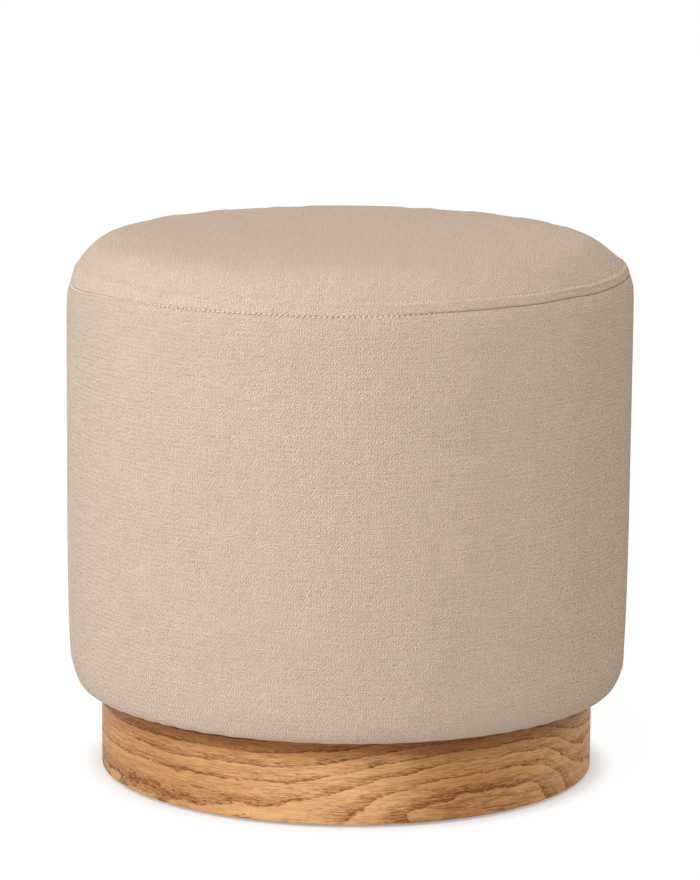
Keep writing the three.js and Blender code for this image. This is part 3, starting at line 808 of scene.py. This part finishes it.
# %% Liner and staples
STAPLE_COUNT = 28
STAPLE_LENGTH = 10 * MM
STAPLE_RADIUS = 0.45 * MM
STAPLE_CIRCLE = LINER_RADIUS - 3.5 * MM
STAPLE_ASKEW = 1.2 * MM
LINER_SAG = 0.8 * MM
LINER_PUCKER = 0.25 * MM
LINER_ROWS = 30


def liner_face(height):
    """One face of the liner: its height, less a sag of one minus the square of the radius, and puckers
    that follow the staples and die away inwards."""
    share = np.linspace(0, 1, LINER_ROWS)[:, None]
    pucker = LINER_PUCKER * np.cos(STAPLE_COUNT * (angles - BACK)) * share ** 14
    return LINER_RADIUS * share + np.zeros(columns), height - LINER_SAG * (1 - share ** 2) - pucker


def staples():
    """Staple crowns: straight wires along the liner's edge whose ends turn up into the plywood."""
    along = np.array([-1, -0.97, -0.88, 0, 0.88, 0.97, 1])
    rise = np.array([1.3, 0.6, 0, 0, 0, 0.6, 1.3]) * MM
    middle = BACK + 2 * np.pi * (np.arange(STAPLE_COUNT) + 0.5) / STAPLE_COUNT
    turn = middle[:, None] + along * STAPLE_LENGTH / 2 / STAPLE_CIRCLE
    askew = np.random.default_rng(5).uniform(-1, 1, (STAPLE_COUNT, 1)) * STAPLE_ASKEW * along
    return short_wires(STAPLE_CIRCLE + askew, liner_low.z - STAPLE_RADIUS / 2 + rise + 0 * turn, turn,
                       np.full(len(along), STAPLE_RADIUS))


liner_faces = liner_face(liner_low.z + LINER_PUCKER), liner_face(liner_high.z)
liner_sheet = capped("liner_sheet", *there_and_back(*liner_faces), step=PADDING_STEP)
liner_staples = new_piece("liner_staples", *staples())
print("liner:", count_triangles(liner_sheet), "triangles,", STAPLE_COUNT, "staples")

# %% [markdown]
# A glide is a turned shape about its own nail. Its profile is short, so it is listed: a countersunk nail
# head in the middle of the sole, a sole with an eased edge, a flat back, and the nail's shank.

# %% Glides
GLIDE_EASE = 0.7 * MM
GLIDE_STEP = columns // 48
GLIDE_BACK = liner_low.z - GAP
NAIL_HEAD = 3 * MM
NAIL_SUNK = 0.4 * MM
NAIL_RADIUS = 1.3 * MM


def glide_line(glide_radius, nail_top):
    """Radius and height of a glide's rows, from the middle of its sole up to the tip of its nail."""
    head = [(0, NAIL_SUNK), (NAIL_HEAD, NAIL_SUNK), (NAIL_HEAD + NAIL_SUNK / 2, 0)]
    edges = [quarter(glide_radius - GLIDE_EASE, height, GLIDE_EASE, turn)
             for height, turn in ((GLIDE_EASE, -np.pi / 2), (GLIDE_BACK - GLIDE_EASE, 0))]
    nail = [(NAIL_RADIUS, GLIDE_BACK), (NAIL_RADIUS, nail_top - NAIL_HEAD), (0, nail_top)]
    return np.vstack([head, *edges, nail])


glide_feet = []
for number in range(1, 5):
    glide_low, glide_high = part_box(f"glide_{number}")
    line = glide_line((glide_high.x - glide_low.x) / 2, glide_high.z)
    centre = ((glide_low + glide_high) / 2)[:2]
    foot = capped(f"glide_foot_{number}", line[:, :1], line[:, 1:], step=GLIDE_STEP, centre=centre)
    foot.data.set_sharp_from_angle(angle=np.radians(50))
    glide_feet.append(foot)
print("glides:", len(glide_feet), "with", count_triangles(foot), "triangles each")

# %% [markdown]
# Finishes. A procedural material is a small sum that Blender works out at every point of a surface. Its
# nodes could be placed by hand, but a few short methods let us write the sum almost as we would say it.
# Lengths inside a finish are in millimetres.

# %% A way to write finishes
class Value:
    """What a node gives at each point: a number, a colour or a place. Arithmetic with it adds Math
    nodes."""

    def __init__(self, tree, kind, inputs, output=0, **settings):
        """The node's inputs are given by name or number and are linked or set, and its output by
        either."""
        node = given(tree.nodes.new("ShaderNode" + kind), **settings)
        for key, value in inputs.items():
            if isinstance(value, Value):
                tree.links.new(value.socket, node.inputs[key])
            else:
                node.inputs[key].default_value = value
        self.tree = tree
        self.socket = node.outputs[output]

    def math(self, operation, *others):
        """One step of arithmetic, by the Math node's own name for it."""
        return Value(self.tree, "Math", dict(enumerate([self, *others])), operation=operation)

    def __add__(self, other):
        return self.math("ADD", other)

    def __sub__(self, other):
        return self.math("SUBTRACT", other)

    def __mul__(self, other):
        return self.math("MULTIPLY", other)

    def __truediv__(self, other):
        return self.math("DIVIDE", other)

    def __pow__(self, other):
        return self.math("POWER", other)

    def past(self):
        """The share of a step that is past, where each whole number begins a step."""
        return self.math("FRACT")

    def rest(self):
        """What is left of one."""
        return self * -1 + 1

    def wave(self):
        """The cosine of so many turns."""
        return (self * (2 * np.pi)).math("COSINE")

    def by(self, factors):
        """A place or a colour whose three numbers are each multiplied by a factor."""
        return Value(self.tree, "VectorMath", {0: self, 1: factors}, operation="MULTIPLY")

    def length(self):
        """How far a place is from the origin."""
        return Value(self.tree, "VectorMath", {0: self}, "Value", operation="LENGTH")

    def parts(self):
        """The three numbers of a place, one by one."""
        return [Value(self.tree, "SeparateXYZ", {0: self}, part) for part in range(3)]

    def noise(self, sizes, detail=2.0):
        """Soft cloudy noise from nought to one at a place, in blotches of these sizes in millimetres."""
        inputs = {"Vector": self.by([1 / size for size in sizes]), "Scale": 1.0, "Detail": detail}
        return Value(self.tree, "TexNoise", inputs, "Fac")

    def between(self, low, high, to_low=0.0, to_high=1.0):
        """The number carried smoothly from one range to another, and kept inside it."""
        inputs = dict(enumerate([self, low, high, to_low, to_high]))
        return Value(self.tree, "MapRange", inputs, interpolation_type="SMOOTHSTEP")

    def mixed(self, first, second):
        """The first colour where this share is nought, the second where it is one."""
        return Value(self.tree, "Mix", {0: self, 6: first, 7: second}, 2, data_type="RGBA")


class Finish:
    """A material being written. Its place is where a point is, in millimetres: on the cloth or veneer's
    own flat map, or else in the object."""

    def __init__(self, name, roughness=0.5, specular=0.5, flat=False, **constants):
        self.material = given(bpy.data.materials.new(name), use_nodes=True)
        self.tree = self.material.node_tree
        self.shader = self.tree.nodes["Principled BSDF"]
        for socket, value in {"Roughness": roughness, "Specular_IOR_Level": specular, **constants}.items():
            self.shader.inputs[socket.replace("_", " ")].default_value = value
        place = self.node("UVMap", uv_map="flat") if flat else self.node("TexCoord", {}, "Object")
        self.place = place.by((1000, 1000, 1000))

    def node(self, kind, inputs={}, output=0, **settings):
        """Any node of this material."""
        return Value(self.tree, kind, inputs, output, **settings)

    def carried(self, name):
        """A number that the faces carry."""
        return self.node("Attribute", {}, "Fac", attribute_name=name)

    def finish(self, colour, height, depth, roughness=None):
        """Links the colour, the relief with its depth in millimetres, and the roughness; gives the
        material."""
        bump = self.node("Bump", {"Height": height, "Distance": depth * MM}, "Normal")
        for socket, value in (("Base Color", colour), ("Normal", bump), ("Roughness", roughness)):
            if value is not None:
                self.tree.links.new(value.socket, self.shader.inputs[socket])
        return self.material


def screen(red, green, blue):
    """A colour given as a screen's numbers, nought to 255, turned to light: each share plus 0.055, over
    1.055, to the power 2.4."""
    share = np.array([red, green, blue]) / 255
    return (*(((share + 0.055) / 1.055) ** 2.4).tolist(), 1.0)


print("a screen grey of 128 is", round(screen(128, 128, 128)[0], 3), "of the light")

# %% [markdown]
# The cover's cloth is a coarse linen-look weave: yarns cross, every second row stands prouder, and the
# crossings line up in steep slanting grains. A picture of cloth could be tiled over the stool, but a
# formula keeps its scale everywhere. Noise wanders the yarns, and gives each crossing and each thick yarn
# a tone of its own.

# %% Cover cloth
GRAIN_WIDTH = 2.18  # millimetres between grains across the cloth
ROW_PITCH = 1.87  # millimetres between rows of the weave
CLOTH_LIGHT = screen(236, 215, 197)
# The darker colour goes to the weave's low places: partly the yarns' own colour, partly painted shade in the
# pits between them.
CLOTH_DARK_AND_SHADED = screen(195, 174, 156)
CLOTH_RELIEF = 0.62


def cover_cloth():
    """Woven cloth. With a and b as distances in grains and in rows, the weave is the cosine of a less half
    b, made stronger and weaker by the cosine of half b, plus faint cosines of b and of half b, and fine
    noise for the fibres. Slow noise wanders a and b."""
    cloth = Finish("cover cloth", 0.95, 0.1, flat=True, Sheen_Weight=0.05, Sheen_Roughness=0.6)
    across, up, _ = cloth.place.parts()
    wander = cloth.place.noise((6, 6, 6)) - 0.5
    grain = across / GRAIN_WIDTH + wander * 1.5
    row = up / ROW_PITCH - wander * 0.8
    twill, rows, pairs = [part.wave() for part in (grain - row * 0.5, row, row * 0.5)]
    fibre = cloth.place.noise((0.9, 0.85, 0.9), 1) - 0.5
    weave = twill * (pairs * 0.28 + 0.24) + rows * 0.1 + pairs * 0.05 + fibre * 2.5
    slubs = cloth.place.noise((26, 1.7, 26)) + cloth.place.noise((1.8, 30, 30))
    tone = slubs * 0.15 + cloth.place.noise((55, 45, 45)) * 0.06 + 0.82
    # Painted shade, in part: the weave's low places take the darker colour in place of the shadow inside its
    # pits.
    colour = weave.between(-0.4, 0.4).mixed(CLOTH_DARK_AND_SHADED, CLOTH_LIGHT).by(tone)
    return cloth.finish(colour, weave + slubs * 0.55, CLOTH_RELIEF)


def thread():
    """Sewing thread: paler than the cloth, with fine noise for its twist."""
    twist = Finish("sewing thread", 0.8, 0.2, Sheen_Weight=0.1)
    fine = twist.place.noise((0.5, 0.5, 0.25), 1)
    return twist.finish(fine.mixed(screen(222, 203, 185), screen(246, 232, 216)), fine, 0.1)


weave = cover_cloth()
for piece, material in ((crown_panel, weave), (sleeve, weave), (seam_stitches, thread())):
    piece.data.materials.append(material)
print("cloth:", len(weave.node_tree.nodes), "nodes")

# %% [markdown]
# The oak. Each ring starts with a porous early wood, dark and sharp on its inner side, that pales outwards
# into dense late wood, and three thin lines run in it. The pores show as short fine dashes along the
# grain, thickest in the early wood. Slow noise shifts the rings, because no tree grows evenly, and a darker
# tone is also warmer. Painted shade darkens the oak left and right of the front and under the drum.

# %% Oak veneer
OAK_LIGHT = screen(235, 186, 132)
OAK_DARK = screen(142, 89, 41)
VENEER_HALF = np.pi * RING_RADIUS / MM
WARMTH = (1.0, 1.38, 1.9)  # powers of the tone for red, green and blue, so a darker tone is warmer, in the wood's own tone and in the painted shade alike
PAINTED_SHADE_TONE = 0.48  # painted shade: the oak is painted darker under the drum, where the drum's shadow falls
PAINTED_SHADE_HEIGHTS = (47, 64)  # heights between which that painted shade sets in
PLY = 1.5  # thickness of a plywood layer
CORE_ROWS = 4  # rows at each end of the ring's outline that show its core


def oak_veneer():
    """Flat-sawn oak. The early wood is one minus the share of the ring that is past, to the power 1.9, and
    pores break it into dashes."""
    oak = Finish("oak veneer", 0.55, 0.22, flat=True)
    place = oak.place
    along, up, _ = place.parts()
    grown, tone_and_shade = oak.carried("growth"), oak.carried("leaf_tone")
    ring = grown + (place.noise((6, 0.9, 6), 3) - 0.5) * 0.34 + (place.noise((34, 13, 34)) - 0.5) * 0.7
    strength = place.noise((70, 8, 70), 1).between(0.3, 0.7, 0.45, 1.1)
    early = ring.past().rest() ** 1.9 * strength
    thin = (ring * 3).past().rest() ** 3
    pore = place.noise((5.5, 0.75, 5.5), 1).between(0.46, 0.62) * (early * 0.8 + 0.2)
    heart = grown.between(1.0, -0.3) * place.noise((24, 3, 24), 4).between(0.4, 0.62)
    fibre = place.noise((16, 0.8, 16), 5) - 0.5
    band = place.noise((60, 5, 60), 1) - 0.5
    dark = early * 0.64 + pore * 0.65 + thin * 0.26 + heart * 0.4 + fibre * 1.9 + band * 0.8
    joint = along.math("ABSOLUTE").between(VENEER_HALF - 0.5, VENEER_HALF - 0.1, 1.0, 0.55)
    # Painted shade: the oak is darkened towards its top, under the drum's overhang, in place of the drum's
    # shadow.
    painted_shade = up.between(*PAINTED_SHADE_HEIGHTS, 1.0, PAINTED_SHADE_TONE)
    # The tone multiplies together the wood's own tone, the dark joint, and painted shade left and right of
    # the front and under the drum.
    tone = place.noise((90, 20, 90), 1).between(0.25, 0.75, 0.93, 1.04) * tone_and_shade * joint * painted_shade
    warm = oak.node("CombineXYZ", {part: tone ** power for part, power in enumerate(WARMTH)})
    return oak.finish(dark.mixed(OAK_LIGHT, OAK_DARK).by(warm), pore * -1, 0.08, pore * 0.25 + 0.5)


def plies(distance, glue_width):
    """Plywood's layers by the distance across them: nought or one in turn, and how near the glue line
    is."""
    share = distance / PLY
    glue = share.math("PINGPONG", 0.5).between(0.0, glue_width, 1.0, 0.0)
    return share.math("FLOOR").math("MODULO", 2.0), glue


def bent_plywood():
    """The ring's core: thin layers about the stool's axis, by turns across and along the grain, and dark
    glue."""
    ply = Finish("bent plywood", 0.7, 0.3)
    layer, glue = plies(ply.place.by((1, 1, 0)).length(), 0.08)
    fibre = ply.place.noise((2.5, 2.5, 0.7), 3)
    wood = (layer * 0.6 + fibre * 0.5).mixed(screen(222, 192, 150), screen(176, 136, 92))
    return ply.finish((glue * 0.6).mixed(wood, screen(98, 66, 42)), fibre, 0.1)


for material in (oak_veneer(), bent_plywood()):
    oak_ring.data.materials.append(material)
face_rows = np.arange(len(ring_profile))
is_core = np.minimum(face_rows, len(ring_profile) - 1 - face_rows) < CORE_ROWS
oak_ring.data.polygons.foreach_set("material_index", np.repeat(is_core.astype(np.int32), columns))
print("oak:", len(oak_ring.data.materials[0].node_tree.nodes), "nodes")

# %% [markdown]
# The hidden wood. Boards are birch plywood, whose layers lie flat, so the layer is counted by height.
# Posts and blocks are pine with rings about a pith beside them, and the wall is fibreboard, which is all
# flecks and no grain.

# %% Boards, pine and fibreboard
def birch_boards():
    """Flat plywood: layers counted by height on upright edges, and a face veneer with long soft grain."""
    ply = Finish("birch boards", 0.65, 0.3)
    layer, glue = plies(ply.place.parts()[2], 0.07)
    grain = ply.place.noise((90, 3, 1.2), 4)
    facing = ply.node("NewGeometry", {}, "Normal").parts()[2]
    edge = facing.math("ABSOLUTE").between(0.4, 0.6, 1.0, 0.0)
    wood = (layer * edge * 0.55 + grain * 0.5).mixed(screen(228, 204, 164), screen(178, 138, 94))
    return ply.finish((glue * edge * 0.5).mixed(wood, screen(92, 64, 42)), grain, 0.08)


def pine():
    """Sawn pine: rings about an upright pith beside the stool, whose distance is bent by noise."""
    wood = Finish("sawn pine", 0.7, 0.3)
    shifted = wood.node("VectorMath", {0: wood.place.by((1, 1, 0.03)), 1: (31, -17, 0)}, operation="ADD")
    late = ((shifted.length() + wood.place.noise((14, 14, 90)) * 5) / 3.4).past() ** 3
    fibre = wood.place.noise((0.8, 0.8, 26), 3)
    dark = late * 0.6 + fibre * 0.35
    return wood.finish(dark.mixed(screen(233, 202, 148), screen(188, 136, 78)), fibre, 0.1)


def fibreboard():
    """Hardboard: pressed fibres, as fine flecks over slow clouds."""
    board = Finish("fibreboard", 0.75, 0.3)
    fleck = board.place.noise((0.7, 0.7, 0.7), 4)
    share = (board.place.noise((18, 18, 18)) * 0.4 + fleck).between(0.45, 0.95)
    return board.finish(share.mixed(screen(112, 80, 54), screen(158, 122, 86)), fleck, 0.12)


boards, pine_wood, hardboard = birch_boards(), pine(), fibreboard()
print("hidden wood:", boards.name, "-", pine_wood.name, "-", hardboard.name)

# %% [markdown]
# Padding, metal and plastic. Foam shows its open cells, wadding its loose fibres. Zinc-plated steel is a
# metal whose roughness varies with handling. The liner is spun-bonded cloth with a grid of weld points,
# and the nylon glides are rubbed a little paler.

# %% Foam, wadding, steel, liner and nylon
WELD_PITCH = 1.6  # millimetres between the liner's weld points


def foam_finish():
    """Open-cell foam: the distance to the nearest of many scattered points gives the cells' walls."""
    foam = Finish("upholstery foam", 0.95, 0.1)
    cell = foam.node("TexVoronoi", {"Vector": foam.place, "Scale": 0.9}, "Distance")
    share = foam.place.noise((30, 30, 30)) * 0.4 + cell * 0.7
    return foam.finish(share.mixed(screen(204, 184, 128), screen(243, 232, 190)), cell, 0.4)


def wadding_finish():
    """Polyester wadding: soft white fibres, as noise drawn out in two directions."""
    wadding = Finish("wadding", 0.95, 0.1, Sheen_Weight=0.3)
    fibre = wadding.place.noise((9, 0.5, 2), 3) * wadding.place.noise((0.6, 7, 2), 3)
    share = fibre.between(0.1, 0.42)
    return wadding.finish(share.mixed(screen(214, 212, 206), screen(248, 247, 243)), fibre, 0.6)


def zinc_steel():
    """Zinc-plated steel: a faint blue and straw cast in slow clouds, and roughness from fine scratches."""
    steel = Finish("zinc steel", Metallic=1.0)
    cast = steel.place.noise((6, 6, 6), 3)
    scratch = steel.place.noise((0.4, 0.4, 5), 3)
    rough = scratch.between(0.3, 0.7, 0.25, 0.45)
    return steel.finish(cast.mixed(screen(186, 194, 204), screen(214, 208, 192)), scratch, 0.02, rough)


def liner_finish():
    """Spun-bonded liner: a square grid of weld points, each the product of two cosines to a high power."""
    liner = Finish("liner", 0.85, 0.2, Sheen_Weight=0.15)
    across, along, _ = [(part / WELD_PITCH / 2).wave().math("ABSOLUTE") for part in liner.place.parts()]
    share = liner.place.noise((3, 0.6, 1), 4) * ((across * along) ** 4).rest()
    return liner.finish(share.mixed(screen(34, 34, 35), screen(84, 84, 86)), share, 0.15)


def nylon_finish():
    """Moulded nylon, rubbed paler and rougher in patches."""
    nylon = Finish("black nylon")
    rubbed = nylon.place.noise((5, 5, 2), 3).between(0.45, 0.75)
    grain = nylon.place.noise((0.4, 0.4, 0.4))
    colour = rubbed.mixed(screen(26, 26, 27), screen(64, 63, 62))
    return nylon.finish(colour, grain, 0.03, rubbed * 0.25 + 0.38)


foam, wadding, steel, nylon = foam_finish(), wadding_finish(), zinc_steel(), nylon_finish()
for piece in padding:
    is_foam = piece.name.startswith("foam")
    piece.data.materials.append(foam if is_foam else wadding)
liner_sheet.data.materials.append(liner_finish())
liner_staples.data.materials.append(steel)
for foot in glide_feet:
    foot.data.materials.append(nylon)
print("padding, liner, staples and glides are finished")

# %% [markdown]
# The solids that stay. Their shapes are right as packed, so only their finish changes. The start of a
# node's name says what it is made of.

# %% Finishes of the solids
FINISH_OF = {hardboard: ("wall_board",), pine_wood: ("post", "glue_block"),
             boards: ("seat_board", "middle_former", "base_board", "plinth_board"),
             steel: ("seat_screw", "base_screw", "tee_nut", "washer", "bolt")}
dressed = 0
for name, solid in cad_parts.items():
    for finish, starts in FINISH_OF.items():
        if name.startswith(starts):
            solid.data.materials.clear()
            solid.data.materials.append(finish)
            dressed += 1
print("solids with a finish:", dressed)

# %% [markdown]
# Hand over. Each dressed piece takes the place of the solid it stands for, which is hidden, and rides on the
# stool's one body.

STANDS_FOR = {crown_panel: "top_cover", sleeve: "side_cover", wadding_cap: "top_wadding",
              wadding_wrap: "side_wadding", foam_seat: "seat_foam", foam_wrap: "side_foam",
              oak_ring: "plinth_ring", liner_sheet: "bottom_liner",
              **{foot: f"glide_{number}" for number, foot in enumerate(glide_feet, 1)}}
for piece, node in STANDS_FOR.items():
    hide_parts(node)
for piece in [*STANDS_FOR, seam_stitches, liner_staples]:
    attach(piece, "root")

if settled is not None:
    bpy.data.objects.remove(settled)

# %% [markdown]
# The floor. To the camera it is white a little way out, and close to the stool it is an ordinary pale
# floor, so the oak keeps its shadow and the thin dark line under it.

# %% Floor
FLOOR_SIZE = 30
FLOOR_BOUNCE = 0.78  # how much light the floor gives back to the stool
FLOOR_SEEN = 0.95
FLOOR_SHADOW = 0.12  # how much of the floor's look still takes shadow a little way out
FLOOR_WHITE = 1.06
SHADOW_REACH = 22.0  # millimetres from the oak to where the floor turns white


def looks_from(tree, *rays):
    """One for these kinds of ray, nought for the others."""
    kinds = [Value(tree, "LightPath", {}, ray) for ray in rays]
    seen = kinds[0]
    for kind in kinds[1:]:
        seen = seen.math("MAXIMUM", kind)
    return seen


def floor_finish():
    """White to the camera and to reflections, a pale floor near the stool and to other rays, and clear
    below."""
    floor = Finish("floor")
    seen = looks_from(floor.tree, "Is Camera Ray", "Is Glossy Ray", "Is Transmission Ray")
    oak_edge = RING_RADIUS / MM
    share = floor.place.length().between(oak_edge - 2, oak_edge + SHADOW_REACH, 0.35, 1 - FLOOR_SHADOW)
    plain = floor.node("BsdfDiffuse", {"Color": seen.between(0.0, 1.0, FLOOR_BOUNCE, FLOOR_SEEN)})
    white = floor.node("Emission", {"Color": (1, 1, 1, 1), "Strength": FLOOR_WHITE})
    shown = floor.node("MixShader", {0: seen * share, 1: plain, 2: white})
    below = floor.node("NewGeometry", {}, "Backfacing")
    both = floor.node("MixShader", {0: below, 1: shown, 2: floor.node("BsdfTransparent")})
    floor.tree.nodes.remove(floor.shader)
    floor.tree.links.new(both.socket, floor.tree.nodes["Material Output"].inputs["Surface"])
    return floor.material


corner = np.array([[-1, -1, 0], [1, -1, 0], [1, 1, 0], [-1, 1, 0]]) * FLOOR_SIZE
floor = new_piece("floor", corner, [np.array([[0, 1, 2, 3]])])
floor.data.materials.append(floor_finish())
print("floor", 2 * FLOOR_SIZE, "m wide")

# %% [markdown]
# The light is that of a small studio: an even sky, brighter overhead, a soft lamp in front and above, and
# a lower one on the left. Both lamps stand left of the camera, because the stool's right side is in soft
# shade. The front lamp's height shows in how far down the oak the drum's shadow reaches.

# %% Sky and lamps
SKY_SIDE = 0.37
SKY_TOP = 0.88
SKY_COLOUR = (1.0, 0.94, 0.855, 1.0)
LAMP_DISTANCE = 2.6
LAMP_SIZE = 1.4
LAMP_COLOUR = (0.98, 1.0, 1.04)
LAMPS = {"front_lamp": (24.5, -10, 42), "left_lamp": (25.5, -66, 18)}  # watts, degrees round and up

sky = given(bpy.data.worlds.new("sky"), use_nodes=True)
tree = sky.node_tree
upward = Value(tree, "TexCoord", {}, "Generated").parts()[2]
level = Value(tree, "MapRange", {0: upward, 3: SKY_SIDE, 4: SKY_TOP})
plain = Value(tree, "Background", {0: SKY_COLOUR, 1: level})
white = Value(tree, "Background", {0: (1, 1, 1, 1), 1: 1.0})
seen = looks_from(tree, "Is Camera Ray", "Is Glossy Ray")
shown = Value(tree, "MixShader", {0: seen, 1: plain, 2: white})
tree.links.new(shown.socket, tree.nodes["World Output"].inputs["Surface"])
bpy.context.scene.world = sky

middle = Vector((0, 0, cad_box[1][2] / 2))
for name, (power, azimuth, elevation) in LAMPS.items():
    turn, lift = np.radians(azimuth - 90), np.radians(elevation)
    away = Vector((np.cos(lift) * np.cos(turn), np.cos(lift) * np.sin(turn), np.sin(lift)))
    lamp = given(bpy.data.lights.new(name, "AREA"), energy=power, size=LAMP_SIZE, color=LAMP_COLOUR)
    facing = away.to_track_quat("Z", "Y").to_matrix().to_4x4()
    added(name, lamp, Matrix.Translation(middle + away * LAMP_DISTANCE) @ facing)
bpy.context.scene.view_settings.view_transform = "Standard"
print("sky from", SKY_SIDE, "at the side to", SKY_TOP, "overhead, and", len(LAMPS), "lamps")
